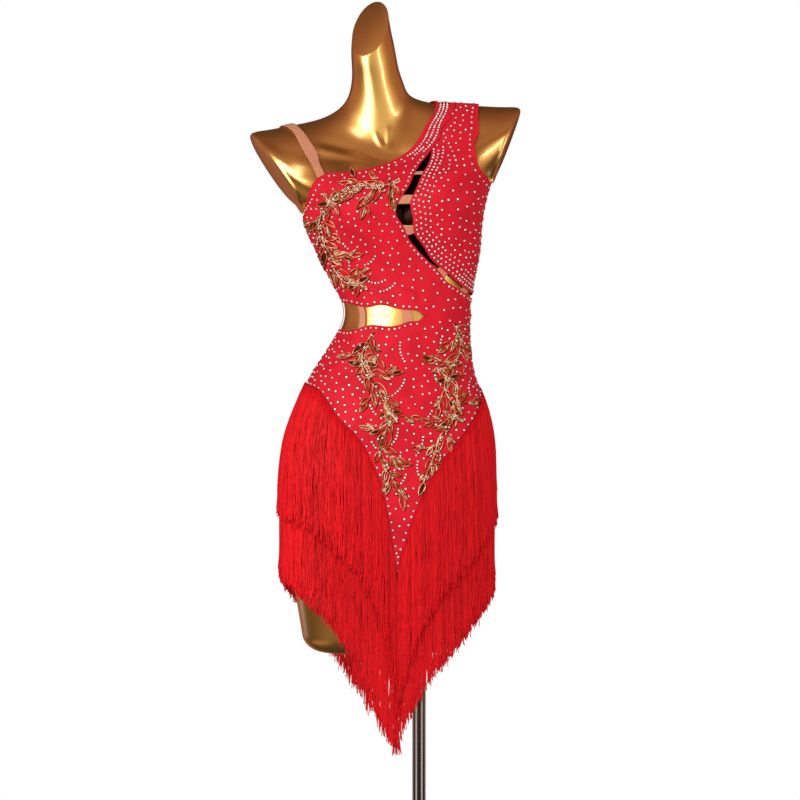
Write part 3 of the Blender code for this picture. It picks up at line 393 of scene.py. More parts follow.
# ---- cloth on the body
# Creases: a place on the body, the crease's heading (0 level, 90 up), its length, width, rise (a trough if below
# zero) and how far its ends bend, in millimetres and degrees.
Crease = namedtuple("Crease", "angle level heading length width rise bend")
CREASES = [Crease(*row) for row in (
    (-34, 1322, -62, 46, 7, -0.9, 5), (-46, 1304, -50, 34, 6, 0.7, -4), (-88, 1236, -20, 52, 7, -0.9, 6),
    (-84, 1214, -12, 44, 8, 0.8, -5), (-72, 1150, 14, 60, 8, -0.8, 6), (-46, 1124, 8, 48, 6, 0.6, -4),
    (14, 1112, -14, 54, 8, -0.9, 7), (26, 1098, -6, 62, 7, 0.9, -6), (40, 1082, 4, 58, 8, -1.0, 5),
    (74, 1128, 6, 52, 7, 0.8, -6), (88, 1106, -2, 64, 8, -1.2, 4), (96, 1088, -10, 56, 7, 0.9, 6),
    (92, 1066, -16, 60, 8, -1.0, -6), (-76, 1052, 24, 56, 8, -0.9, 6), (-58, 1044, 34, 44, 7, 0.7, -5),
    (-84, 1002, 52, 62, 9, -0.9, 6), (74, 1002, -46, 58, 9, -0.9, -7), (58, 988, -40, 46, 7, 0.6, 5),
    (46, 1322, -70, 42, 7, -0.8, -4), (66, 1262, 28, 46, 7, -0.8, 5), (80, 1244, 18, 40, 6, 0.6, 5),
    (132, 1284, -34, 58, 8, -1.0, 6), (150, 1322, -48, 64, 9, 0.8, -6), (172, 1250, -30, 70, 9, -1.0, 7),
    (140, 1130, 6, 74, 9, -1.3, 6), (168, 1108, -4, 84, 9, 1.0, -6), (196, 1128, -10, 70, 8, -1.1, 5),
    (150, 1078, 8, 76, 9, -1.1, -6), (186, 1060, -6, 72, 8, 0.9, 6), (222, 1036, -24, 60, 8, -0.9, 5),
)]
# The form's collarbones, the hollows above them and the two small heads where they meet the breastbone.
FORM_RIDGES = [Crease(*row) for row in (
    (-22, 1424, -17, 92, 9.5, 2.6, 4), (-27, 1461, -16, 92, 10.5, -1.8, 4), (-3, 1509, -63, 28, 4.5, 1.5, 1),
    (10, 1512, -93, 38, 5.0, 1.5, -1), (-45, 1364, -40, 104, 9, 3.4, 3),
)]
HEM_WIDTH, HEM_RISE, SEAM_WIDTH, SEAM_DIP = 6.5, 0.55, 3.0, 0.5


def metres(millimetres):
    return np.asarray(millimetres) * MM


# How far in and out from its place a crease is felt.
CREASE_REACH = 60


def crease_rise(points, creases=CREASES):
    """How far the creases lift a surface, or let it sink, at points on the body."""
    rise = np.zeros(points.shape[:-1])
    for crease in creases:
        centre = body(crease.angle, crease.level)
        normal = outward(crease.angle, crease.level)
        level_line = unit(np.cross((0, 0, 1), normal))
        turn = math.radians(crease.heading)
        along_line = math.cos(turn) * level_line + math.sin(turn) * np.cross(normal, level_line)
        off = points - centre
        along = off @ along_line / (crease.length / 2)
        across = off @ np.cross(normal, along_line) - crease.bend * along**2
        deep = np.abs(off @ normal) < CREASE_REACH
        rise += deep * crease.rise * np.exp(-((across / crease.width) ** 2) - along**4)
    return rise


def stand_off(angle, level, swelling):
    """How far a swelling lifts the cloth at a place."""
    round_it, up_it = (angle - swelling.angle) / swelling.wide, (level - swelling.level) / swelling.tall
    return swelling.lift * np.exp(-(round_it**2) - up_it**2)


def skin(angle, level, lift=0.0):
    """Points on the dress's outer face, or that far above it, in millimetres."""
    angle, level = np.broadcast_arrays(np.asarray(angle, float), np.asarray(level, float))
    hollow = NECK_HOLLOW * np.clip((level - NECK_HOLLOW_FROM) / (NECK_HOLLOW_TO - NECK_HOLLOW_FROM), 0, 1)
    away = PANEL_AWAY + PANEL_WALL + hollow + crease_rise(body(angle, level))
    away = away + stand_off(angle, level, SHOULDER_BLADE) + stand_off(angle, level, UNDER_THE_ARM)
    return worn(angle, level, away + lift)


# The search for a seen place starts on a plain cylinder. Its steps round in degrees and up have a limit.
GUESS_X, GUESS_RADIUS, GUESSES, LEAST_TURN, MOST_ROUND, MOST_UP = -45, 160, 14, 0.05, 8, 20


def place_at(x, z, back=False):
    """The places on the body seen at x and z from the front, or from the back, in millimetres."""
    x, z = (np.array(values, float) for values in np.broadcast_arrays(x, z))
    angle = np.degrees(np.arcsin(np.clip((x - GUESS_X) / GUESS_RADIUS, -0.9, 0.9)))
    angle = 180 - angle if back else angle
    level = z.copy()
    for _ in range(GUESSES):
        here = body(angle, level)
        a_degree, a_level = body_steps(angle, level)
        turn = a_degree[..., 0] * a_level[..., 2] - a_degree[..., 2] * a_level[..., 0]
        turn = np.where(np.abs(turn) < LEAST_TURN, LEAST_TURN * np.sign(turn + 1e-9), turn)
        miss_x, miss_z = x - here[..., 0], z - here[..., 2]
        angle = angle + np.clip((miss_x * a_level[..., 2] - miss_z * a_level[..., 0]) / turn, -MOST_ROUND, MOST_ROUND)
        level = level + np.clip((miss_z * a_degree[..., 0] - miss_x * a_degree[..., 2]) / turn, -MOST_UP, MOST_UP)
    return angle, level


def nearness(points, line):
    """Each point's distance to the nearest of a line's points, in millimetres."""
    flat = points.reshape(-1, 3)
    gaps = [np.sqrt(((flat[i : i + 1500, None] - line[None]) ** 2).sum(-1)).min(1) for i in range(0, len(flat), 1500)]
    return np.concatenate(gaps).reshape(points.shape[:-1])


def on_body(places, steps=None):
    """The body's points along a line of places, close together."""
    run = smooth(places, steps or max(2, round(lengths(np.array(places, float))[-1] / 1.2)))
    return body(run[:, 0], run[:, 1])


def ease(value):
    """From 0 to 1, with a slow start and a slow end."""
    value = np.clip(value, 0, 1)
    return value * value * (3 - 2 * value)


# ---- meshes
def mesh_from(bm, name):
    mesh = bpy.data.meshes.new(name)
    bm.to_mesh(mesh)
    bm.free()
    return mesh


def rows_and_columns(flat, rows, columns):
    """The row, from the top, and the column of each corner of a grid of size 1."""
    row = np.rint((1 - flat[:, 1]) / 2 * (rows - 1)).astype(int)
    return row, np.rint((flat[:, 0] + 1) / 2 * (columns - 1)).astype(int)


def grid_mesh(name, points, uv=None):
    """A mesh of quads with corners at points in millimetres, row by row from the top, and each one's row and column."""
    rows, columns = points.shape[:2]
    bm = bmesh.new()
    bmesh.ops.create_grid(bm, x_segments=columns - 1, y_segments=rows - 1, size=1)
    row, column = rows_and_columns(np.array([vert.co[:2] for vert in bm.verts]), rows, columns)
    mesh = mesh_from(bm, name)
    mesh.vertices.foreach_set("co", metres(points[row, column]).astype(np.float32).ravel())
    if uv is not None:
        add_uv(mesh, uv[row, column])
    mesh.update()
    return mesh, row, column


def add_uv(mesh, of_vertex, name="Weave"):
    """A UV layer from one pair for each vertex."""
    corners = np.empty(len(mesh.loops), np.int32)
    mesh.loops.foreach_get("vertex_index", corners)
    layer = mesh.uv_layers.new(name=name)
    layer.data.foreach_set("uv", of_vertex[corners].astype(np.float32).ravel())


def add_attribute(mesh, name, values):
    made = mesh.attributes.new(name, "FLOAT", "POINT")
    made.data.foreach_set("value", np.ascontiguousarray(values, np.float32))


def joined(name, faces, points, uv=None):
    """One mesh of many copies of a shape: points is (copies, vertices, 3) in millimetres and faces the shape's."""
    copies, count = points.shape[:2]
    sizes = np.array([len(face) for face in faces])
    corners = (np.concatenate(faces)[None] + np.arange(copies)[:, None] * count).ravel()
    starts = np.concatenate([[0], np.cumsum(np.tile(sizes, copies))[:-1]])
    mesh = bpy.data.meshes.new(name)
    mesh.vertices.add(copies * count)
    mesh.vertices.foreach_set("co", metres(points).astype(np.float32).ravel())
    mesh.loops.add(len(corners))
    mesh.loops.foreach_set("vertex_index", corners.astype(np.int32))
    mesh.polygons.add(copies * len(faces))
    mesh.polygons.foreach_set("loop_start", starts.astype(np.int32))
    mesh.update(calc_edges=True)
    if uv is not None:
        add_uv(mesh, uv.reshape(-1, 2))
    return mesh


def shape_of(bm):
    """A small bmesh's vertices as an array and its faces as lists of them."""
    bm.verts.index_update()
    verts = np.array([vert.co[:] for vert in bm.verts])
    faces = [[vert.index for vert in face.verts] for face in bm.faces]
    bm.free()
    return verts, faces


def primitive(create, **sizes):
    """The vertices and faces of a simple shape that one of bmesh.ops makes."""
    bm = bmesh.new()
    create(bm, **sizes)
    return shape_of(bm)


def tube_shape(sides, sections):
    """The vertices and faces of a closed tube of size 1, with that many sections along it."""
    bm = bmesh.new()
    bmesh.ops.create_cone(bm, cap_ends=True, segments=sides, radius1=1, radius2=1, depth=1)
    upright = [e for e in bm.edges if abs(e.verts[0].co.z - e.verts[1].co.z) > 0.5]
    bmesh.ops.subdivide_edges(bm, edges=upright, cuts=sections - 2)
    bmesh.ops.recalc_face_normals(bm, faces=bm.faces)
    return shape_of(bm)


def tubes(name, centres, outs, radii, sides, tone=None):
    """Joined tubes along rows of centres, (tubes, sections, 3) as outs are. radii fits (tubes, sections)."""
    copies, sections = centres.shape[:2]
    verts, faces = tube_shape(sides, sections)
    section = np.rint((verts[:, 2] + 0.5) * (sections - 1)).astype(int)
    ways = unit(np.gradient(centres, axis=1))
    across = unit(np.cross(ways, outs))
    up = np.cross(across, ways)
    radii = np.broadcast_to(radii, (copies, sections))[:, section, None]
    turn = verts[None, :, :1] * across[:, section] + verts[None, :, 1:2] * up[:, section]
    steps = np.linalg.norm(np.diff(centres, axis=1), axis=2)
    run = np.concatenate([np.zeros((copies, 1)), np.cumsum(steps, axis=1)], axis=1)
    tone = np.zeros(copies) if tone is None else tone
    uv = np.stack([np.broadcast_to(tone[:, None], (copies, len(section))), metres(run[:, section])], axis=-1)
    return joined(name, faces, centres[:, section] + radii * turn, uv)


def placed(name, data):
    """A new object of the scene."""
    obj = bpy.data.objects.new(name, data)
    bpy.context.scene.collection.objects.link(obj)
    return obj


def piece(mesh, finish_name, stands_for=(), smooth_angle=None):
    """The mesh as an object that rides on the part, stands for its nodes and takes its finish from a slot."""
    mesh.materials.append(finish(finish_name))
    obj = placed(mesh.name, mesh)
    if smooth_angle is None:
        mesh.shade_flat()
    else:
        mesh.shade_smooth()
        mesh.set_sharp_from_angle(angle=math.radians(smooth_angle))
    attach(obj, "root")
    if stands_for:
        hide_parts(*stands_for)
    return obj


def walled(obj, wall):
    """The object with a wall under its face, in millimetres."""
    thicken = obj.modifiers.new("Wall", "SOLIDIFY")
    thicken.thickness, thicken.offset = wall * MM, -1
    return obj


# ---- finishes
# A wave texture's scale for bands a metre apart, and how far apart the turns of the gold and bronze cord are.
WAVE_UNIT = 0.314
CORD_TWIST = 0.002


def srgb(code):
    """A colour written as #rrggbb, as linear RGBA."""
    parts = [int(code[i : i + 2], 16) / 255 for i in (1, 3, 5)]
    return (*[c / 12.92 if c <= 0.04045 else ((c + 0.055) / 1.055) ** 2.4 for c in parts], 1.0)


def shade(colour, by):
    """A linear colour made darker or lighter."""
    return (*[min(1.0, part * by) for part in colour[:3]], 1.0)


def add_node(tree, kind, inputs=None, **settings):
    """Adds a node, sets its properties, and sets or links its inputs."""
    made = tree.nodes.new(f"ShaderNode{kind}")
    for name, value in settings.items():
        setattr(made, name, value)
    for key, value in (inputs or {}).items():
        if isinstance(value, bpy.types.NodeSocket):
            tree.links.new(value, made.inputs[key])
        else:
            made.inputs[key].default_value = value
    return made


class Finish:
    """A Principled material, its node tree and shader, and the nodes that most of them share."""

    def __init__(self, name, **values):
        self.material = bpy.data.materials.new(name)
        self.material.use_nodes = True
        self.tree = self.material.node_tree
        self.shader = self.tree.nodes["Principled BSDF"]
        for key, value in values.items():
            socket = self.shader.inputs[key.replace("_", " ").replace("Ior", "IOR")]
            socket.default_value = srgb(value) if isinstance(value, str) else value

    def add(self, kind, inputs=None, **settings):
        return add_node(self.tree, kind, inputs, **settings)

    def weave(self):
        return self.add("UVMap", uv_map="Weave").outputs["UV"]

    def where(self):
        return self.add("TexCoord").outputs["Object"]

    def noise(self, vector, scale, detail):
        return self.add("TexNoise", {"Vector": vector, "Scale": scale, "Detail": detail}).outputs["Fac"]

    def bands(self, vector, apart, distortion=0.0, **settings):
        """Waves that many metres apart."""
        inputs = {"Vector": vector, "Scale": WAVE_UNIT / apart, "Distortion": distortion}
        return self.add("TexWave", inputs, **settings).outputs["Fac"]

    def math(self, operation, *values):
        return self.add("Math", dict(enumerate(values)), operation=operation).outputs[0]

    def mapped(self, value, **limits):
        limits = {key.replace("_", " "): limit for key, limit in limits.items()}
        return self.add("MapRange", {"Value": value, **limits}).outputs[0]

    def two_tones(self, factor, dark, light, low=0.0, high=1.0):
        """A colour that goes from dark to light as the factor goes from low to high."""
        ramp = self.add("ValToRGB", {"Fac": factor})
        for element, at, colour in zip(ramp.color_ramp.elements, (low, high), (dark, light)):
            element.position, element.color = at, srgb(colour) if isinstance(colour, str) else colour
        return ramp.outputs["Color"]

    def set(self, socket, value):
        self.tree.links.new(value, self.shader.inputs[socket])

    def tones(self, *between):
        """The base colour, between two tones."""
        self.set("Base Color", self.two_tones(*between))

    def bump(self, height, strength, distance):
        made = self.add("Bump", {"Height": height, "Strength": strength, "Distance": distance})
        self.set("Normal", made.outputs["Normal"])


def red_stretch_jersey():
    """Red nylon and elastane warp knit: matte, with a faint nap that lightens its edges."""
    made = Finish(
        "knitted_red_jersey", Roughness=0.6, Sheen_Weight=0.12, Sheen_Roughness=0.4, Sheen_Tint="#ff3040",
        Specular_Ior_Level=0.1,
    )
    base = bpy.context.scene.dress_colours.cloth
    weave = made.weave()
    # Knit wales are 0.5 mm apart and are drawn 1.9 mm apart, so that they show.
    wales = made.bands(weave, 0.0019, 0.5)
    nap, patches = made.noise(weave, 420.0, 3.0), made.noise(weave, 26.0, 2.0)
    made.tones(patches, shade(base, 0.9), shade(base, 1.08), 0.35, 0.65)
    # Heights in millimetres: the stitch line's groove, the turned hem's thickness, the wales and the nap.
    edge = made.add("Attribute", attribute_name="edge_mm").outputs["Fac"]
    off = made.math("ABSOLUTE", made.math("SUBTRACT", edge, HEM_WIDTH - 1.0))
    stitch = made.mapped(off, From_Max=1.1, To_Min=-0.45, To_Max=0.0)
    hem = made.mapped(edge, From_Min=HEM_WIDTH - 1.5, From_Max=HEM_WIDTH, To_Min=HEM_RISE, To_Max=0.0)
    hem.node.interpolation_type = "SMOOTHSTEP"
    first = made.math("ADD", stitch, hem)
    height = made.math("MULTIPLY_ADD", nap, 0.22, made.math("MULTIPLY_ADD", wales, 0.07, first))
    made.bump(height, 1.0, MM)
    return made


def red_rayon_fringe():
    """Red twisted rayon cord: silky, each thread its own tone, with a soft lengthwise gleam."""
    made = Finish(
        "twisted_red_rayon", Roughness=0.45, Sheen_Weight=0.06, Sheen_Roughness=0.4, Sheen_Tint="#ff3a3a",
        Specular_Ior_Level=0.12,
    )
    weave = made.weave()
    tone = made.add("SeparateXYZ", {"Vector": weave}).outputs["X"]
    base = bpy.context.scene.dress_colours.fringe
    colour = made.two_tones(tone, shade(base, 0.7), shade(base, 1.2))
    # The header, whose tone is 0, is painted darker than every thread. This is painted shade along the cloth's edge
    # above the fringe.
    header = made.mapped(tone, From_Max=0.02, To_Min=0.4)
    made.set("Base Color", made.add("VectorMath", {0: colour, "Scale": header}, operation="SCALE").outputs[0])
    # The cord's twist is 2 mm long and is drawn 4 mm long, so that it shows.
    made.bump(made.bands(weave, 0.004, 1.5, bands_direction="Y"), 0.3, 0.0004)
    return made


def nude_elastic():
    """Skin-coloured woven elastic: lengthwise ribs of covered rubber, satin."""
    made = Finish("ribbed_nude_elastic", Roughness=0.55, Sheen_Weight=0.2)
    # Ribs 2.5 mm apart across the band. Their tone follows their height: painted shade, darker in the grooves.
    ribs = made.bands(made.weave(), 0.0025)
    base = bpy.context.scene.dress_colours.elastic
    made.tones(ribs, shade(base, 0.66), shade(base, 1.12), 0.1, 0.7)
    made.bump(ribs, 0.6, 0.0005)
    return made


def gold_lacquer():
    """Gold metallic lacquer sprayed on a moulded shell, under a clear coat: deep, pearly and very glossy."""
    made = Finish("sprayed_gold_lacquer", Metallic=0.92, Roughness=0.31, Coat_Roughness=0.16, Coat_Ior=1.9)
    where = made.where()
    # Flakes under 1 mm, and the slow waviness of a hand-polished shell.
    flakes, waves = made.noise(where, 900.0, 2.0), made.noise(where, 9.0, 1.0)
    base = bpy.context.scene.dress_colours.lacquer
    colour = made.two_tones(flakes, shade(base, 0.9), shade(base, 1.1), 0.3, 0.7)
    # Behind the slit the chest hollows. The deep red shadow there is painted into the lacquer's colour, and its coat is
    # dulled to match.
    shadow = made.add("Attribute", attribute_name="in_shadow").outputs["Fac"]
    made.set("Coat Weight", made.mapped(shadow, To_Min=0.9, To_Max=0.05))
    deep = made.add("Mix", {0: shadow, 6: colour, 7: srgb("#220504")}, data_type="RGBA")
    made.set("Base Color", deep.outputs[2])
    made.bump(waves, 0.15, 0.004)
    return made


def chrome_plate():
    """Bright nickel-chrome plate on a steel tube, with faint wiping marks."""
    made = Finish("polished_chrome_plate", Metallic=1.0, Roughness=0.1, Base_Color="#dadbe0")
    marks = made.add("Mapping", {"Vector": made.where(), "Scale": (60.0, 60.0, 700.0)}).outputs["Vector"]
    made.set("Roughness", made.mapped(made.noise(marks, 1.0, 2.0), To_Min=0.05, To_Max=0.16))
    return made


def brushed_steel():
    """Turned and brushed steel disc: fine rings round its centre."""
    made = Finish("turned_brushed_steel", Metallic=1.0, Roughness=0.34, Base_Color="#c9cacd")
    # Tool marks 1 mm apart.
    rings = made.bands(made.where(), 0.001, 0.4, wave_type="RINGS", rings_direction="Z")
    made.bump(rings, 0.15, 0.0002)
    return made


def gold_cord():
    """Metallic gold thread couched on the cloth: copper, with cream patches painted on as highlights, and its twist
    painted as dark grooves and fine glints.
    """
    made = Finish("gold_cord", Metallic=0.3, Roughness=0.36)
    # Cream patches at random along the cord, painted on as highlights.
    base = made.two_tones(made.noise(made.where(), 110.0, 1.0), "#cf6a2e", "#ffe0b4", 0.44, 0.62)
    twist = made.bands(made.weave(), CORD_TWIST, bands_direction="Y")
    # The twist is painted darker in its grooves and light on its turns: painted shade and glints.
    dark = made.two_tones(twist, "#b8846a", "#ffffff", 0.1, 0.6)
    colour = made.add("Mix", {0: 1.0, 6: base, 7: dark}, data_type="RGBA", blend_type="MULTIPLY")
    made.set("Base Color", colour.outputs[2])
    made.bump(twist, 0.4, 0.0003)
    return made


def bronze_thread():
    """Dark bronze rayon thread that fills some of the leaves, and the painted shadows: dark lines beside every gold
    line.
    """
    made = Finish("bronze_thread", Roughness=0.7, Specular_Ior_Level=0.15)
    twist = made.bands(made.weave(), CORD_TWIST, bands_direction="Y")
    # The twist is drawn in two tones: painted shade in its grooves.
    made.tones(twist, "#240303", "#5a110b")
    return made


def mottled(name, scale, detail, dark, light, low=0.0, high=1.0, **values):
    """A finish whose one pattern is a mottle between two tones."""
    made = Finish(name, **values)
    made.tones(made.noise(made.where(), scale, detail), dark, light, low, high)
    return made


def foiled_crystal():
    """Cut glass with a silver foil behind it: white sparkle with a faint warm cast."""
    return mottled(
        "foiled_crystal", 260.0, 1.0, "#f0d0d8", "#fffafc", 0.38, 0.52,
        Metallic=0.2, Roughness=0.14, Coat_Weight=1.0, Coat_Roughness=0.03,
    )


def stone_foot_ring():
    """A dark red ring round each stone's foot."""
    return Finish("dark_foil_rim", Metallic=0.3, Roughness=0.4, Base_Color="#5c0f20")


def gold_bead():
    """Cream and gold-lined glass seed beads: bright, with a dark rim."""
    return mottled(
        "gold_bead", 320.0, 1.0, "#8a5a34", "#fff2dc", 0.4, 0.52, Metallic=0.25, Roughness=0.16, Coat_Weight=0.8
    )


def studio_paper():
    """Pale matte studio paper with a slight mottle."""
    return mottled("studio_paper", 40.0, 3.0, "#ececea", "#f4f4f2", Roughness=0.9)


def finish(name):
    """The finish of that name, made once."""
    if name not in MADE:
        MADE[name] = FINISHES[name]().material
    return MADE[name]


MADE = {}
FINISHES = {
    make.__name__: make
    for make in (
        red_stretch_jersey, red_rayon_fringe, nude_elastic, gold_lacquer, chrome_plate, brushed_steel, foiled_crystal,
        stone_foot_ring, gold_cord, bronze_thread, gold_bead, studio_paper,
    )
}


# ---- sizes and colours
def colour_value(name, description, code):
    return FloatVectorProperty(
        name=name, description=description, subtype="COLOR", size=4, min=0, max=1, default=srgb(code)
    )


def metre_value(name, description, default, least=0.0):
    return FloatProperty(name=name, description=description, default=default, min=least, unit="LENGTH")


def plain_value(name, description, default, least=0.0, most=1e6):
    return FloatProperty(name=name, description=description, default=default, min=least, max=most)


def count_value(name, description, default, least, most):
    return IntProperty(name=name, description=description, default=default, min=least, max=most)


class DressColours(PropertyGroup):
    cloth: colour_value("Cloth", "Red of the stretch jersey", "#c4172a")
    fringe: colour_value("Fringe", "Red of the rayon threads", "#d8141e")
    elastic: colour_value("Elastic", "Skin colour of the elastics", "#c37d5d")
    lacquer: colour_value("Lacquer", "Gold of the dress form", "#dcab5c")


class DressForm(PropertyGroup):
    columns: count_value("Columns", "Points in each ring of the form", 240, 48, 360)
    ring_step: metre_value("Ring Step", "Height between rings", 0.004, 0.002)
    turned_steps: count_value("Turned Steps", "Faces round the base and pole", 128, 24, 512)


class DressCloth(PropertyGroup):
    finer_down: count_value("Finer Down", "Rows for each row of the solid", 4, 1, 12)
    finer_across: count_value("Finer Across", "Columns for each column of the solid", 6, 1, 12)


class DressFringe(PropertyGroup):
    pitch: metre_value("Pitch", "From thread to thread along the edge", 0.00105, 0.0005)
    layers: count_value("Layers", "Threads one behind another", 3, 1, 5)
    radius: metre_value("Radius", "Radius of a thread", 0.0008, 0.0002)
    sections: count_value("Sections", "Rings along a thread", 14, 6, 40)
    clump: metre_value("Clump", "Width of the threads that hang together", 0.0034, 0.002)
    pull: plain_value("Pull", "How far the ends draw together, from 0 to 1", 0.34, most=0.9)
    wave: metre_value("Wave", "How far a thread swings from plumb", 0.0011)
    uneven: metre_value("Uneven", "How much the threads differ in length", 0.008)


class DressStones(PropertyGroup):
    radius: metre_value("Radius", "Radius of a stone", 0.00185, 0.0005)
    height: metre_value("Height", "Height of a stone", 0.0014, 0.0003)
    front: metre_value("Front", "Spacing of the loose stones in front", 0.0115)
    back: metre_value("Back", "Spacing of the loose stones behind", 0.0145)


class DressStage(PropertyGroup):
    distance: metre_value("Distance", "Camera to the dress", 3.5, 1)
    lens: plain_value("Lens", "Focal length in millimetres", 98.4375, 20)
    key: plain_value("Key", "Power of the front softbox in watts", 84.0)
    side: plain_value("Side", "Power of the side softbox in watts", 17.0)
    back: plain_value("Back", "Power of the softbox behind in watts", 26.0)
    fill: plain_value("Fill", "Power of the front fill in watts", 34.0)


# ---- the form and its stand
def level_way(angle, level):
    """The level direction out of the body."""
    return unit(outward(angle, level) * (1, 1, 0))


def leg_gap_cutter():
    """The wedge that parts the legs, rounded at its top."""
    gap = bmesh.new()
    bmesh.ops.create_cube(gap, size=2)
    for vert in gap.verts:
        wide = LEG_GAP_TIP if vert.co.z > 0 else LEG_GAP_WIDTH
        level = LEG_GAP_TOP if vert.co.z > 0 else FORM_FOOT - LEG_GAP_SPARE
        vert.co = Vector((LEG_GAP_X + vert.co.x * wide / 2, vert.co.y * LEG_GAP_REACH, level)) * MM
    top_face = max(gap.faces, key=lambda face: face.calc_center_median().z)
    along = [e for e in top_face.edges if abs(e.verts[0].co.y - e.verts[1].co.y) > LEG_GAP_REACH * MM]
    bmesh.ops.bevel(gap, geom=along, offset=LEG_GAP_ROUND * MM, segments=6, profile=0.5, affect="EDGES", material=-1)
    turn = Matrix.Rotation(math.radians(RINGS[0].twist), 4, "Z")
    bmesh.ops.rotate(gap, verts=gap.verts, cent=Vector((LEG_GAP_X, RINGS[0].mid_y, 0)) * MM, matrix=turn)
    return placed("leg_gap_cutter", mesh_from(gap, "leg_gap_cutter"))


def rounded_cap(bm, rim, way):
    """Close the rim of a cut with a rounded edge and a slightly crowned face, in rings to its middle."""
    following = {}
    for edge in rim:
        for vert in edge.verts:
            following.setdefault(vert, []).append(edge.other_vert(vert))
    first = next((v for v, others in following.items() if len(others) == 1), rim[0].verts[0])
    loop = [first, following[first][0]]
    while len(loop) < len(following):
        loop.append(next(v for v in following[loop[-1]] if v is not loop[-2]))
    middle = sum((v.co for v in loop), Vector()) / len(loop)
    reach = sum((v.co - middle).length for v in loop) / len(loop)
    rings = [
        (1 - CUT_ROUND * MM / reach * (1 - math.cos(turn)), CUT_ROUND * MM * math.sin(turn))
        for turn in np.radians(CUT_TURNS)
    ]
    rings += [(share, (CUT_ROUND + CUT_CROWN * (1 - share**2)) * MM) for share in CUT_SHARES]
    before = loop
    for share, rise in rings:
        after = [bm.verts.new(middle + (v.co - middle) * share + way * rise) for v in loop]
        for i in range(len(loop)):
            bm.faces.new((before[i - 1], before[i], after[i], after[i - 1]))
        before = after
    bm.faces.new(before)


def painted_slit_shadow(points):
    """How deep in the shadow painted in the slit points of the form are, from 0 to 1."""
    flat = np.array([1.0, 0.0, 1.0])
    near, far = (body(*smooth(line, 160).T) * flat for line in (SLIT_NEAR, SLIT_FAR))
    shadow = np.zeros(len(points))
    close = (points[:, 2] > SHADOW_LOW) & (points[:, 2] < SHADOW_TOP) & (points[:, 1] < 0)
    off = nearness(points[close] * flat, np.concatenate([near, far, (near + far) / 2]))
    deepened = ease((points[close][:, 2] - SHADOW_LOW) / SHADOW_DEEPEN)
    shadow[close] = ease((SHADOW_REACH - off) / SHADOW_SOFT) * deepened
    return shadow


class DRESS_OT_form(Operator):
    """The gold torso, cut flat at the shoulders and parted between the legs"""

    bl_idname = "dress.form"
    bl_label = "Dress Form"

    def execute(self, context):
        settings = context.scene.dress_form
        angles = np.linspace(-180, 180, settings.columns + 1)
        rounding = [FORM_FOOT + FORM_FOOT_ROUND * (1 - math.cos(math.radians(t))) for t in range(0, 90, 9)]
        start = FORM_FOOT + FORM_FOOT_ROUND
        trunk = np.linspace(start, NECK_TOP, round((NECK_TOP - start) * MM / settings.ring_step))
        grid_angle, grid_level = np.meshgrid(angles, [*trunk[::-1], *rounding[::-1]])
        points = body(grid_angle, grid_level, cloth=False)
        up = np.clip((start - grid_level) / FORM_FOOT_ROUND, 0, 1)
        tuck = FORM_FOOT_ROUND * (1 - np.sqrt(1 - up**2))
        points -= level_way(grid_angle, grid_level) * tuck[..., None]
        spare = SHOULDER_SPARE * np.exp(-(((grid_level - SPARE_LEVEL) / SPARE_TALL) ** 2))
        spare = spare * np.abs(np.sin(np.radians(grid_angle))) ** SPARE_NARROW
        spare = spare + crease_rise(points, FORM_RIDGES)
        points += outward(grid_angle, grid_level, cloth=False) * spare[..., None]
        mesh, _, _ = grid_mesh("form_shell", points)
        bm = bmesh.new()
        bm.from_mesh(mesh)
        bmesh.ops.remove_doubles(bm, verts=bm.verts, dist=1e-6)
        bmesh.ops.holes_fill(bm, edges=bm.edges, sides=0)
        bmesh.ops.recalc_face_normals(bm, faces=bm.faces)
        for cut in ARM_CUTS:
            way = Vector(cut.way).normalized()
            faces = [f for f in bm.faces if min(v.co.z for v in f.verts) > cut.above * MM]
            faces = [f for f in faces if f.calc_center_median().x * cut.side > 0]
            made = bmesh.ops.bisect_plane(
                bm, geom=list({g for f in faces for g in (f, *f.edges, *f.verts)}),
                plane_co=(Vector(cut.place) - way * CUT_ROUND) * MM, plane_no=way, clear_outer=True,
            )
            rounded_cap(bm, [g for g in made["geom_cut"] if isinstance(g, bmesh.types.BMEdge)], way)
        bmesh.ops.recalc_face_normals(bm, faces=bm.faces)
        ends = [f for f in bm.faces if len(f.verts) > 20 and f.calc_center_median().z > NECK_ABOVE * MM]
        ends = [f for f in ends if abs(f.normal.z) > 0.5]
        bmesh.ops.inset_individual(bm, faces=ends, thickness=NECK_RIM * MM, depth=NECK_RIM_DROP * MM)
        bm.to_mesh(mesh)
        bm.free()
        cutter, shell = leg_gap_cutter(), placed("form_shell", mesh)
        part_legs = shell.modifiers.new("Legs", "BOOLEAN")
        part_legs.object = cutter
        part_legs.operation = "DIFFERENCE"
        whole = bpy.data.meshes.new_from_object(shell.evaluated_get(context.evaluated_depsgraph_get()))
        whole.name = "torso"
        whole.materials.clear()
        points = np.empty(len(whole.vertices) * 3)
        whole.vertices.foreach_get("co", points)
        # Where the lacquer's finish paints the slit's shadow, from 0 to 1.
        add_attribute(whole, "in_shadow", painted_slit_shadow(points.reshape(-1, 3) / MM))
        for obj in (cutter, shell):
            bpy.data.objects.remove(obj)
        piece(whole, "gold_lacquer", ["dress_form"], 35)
        return {"FINISHED"}


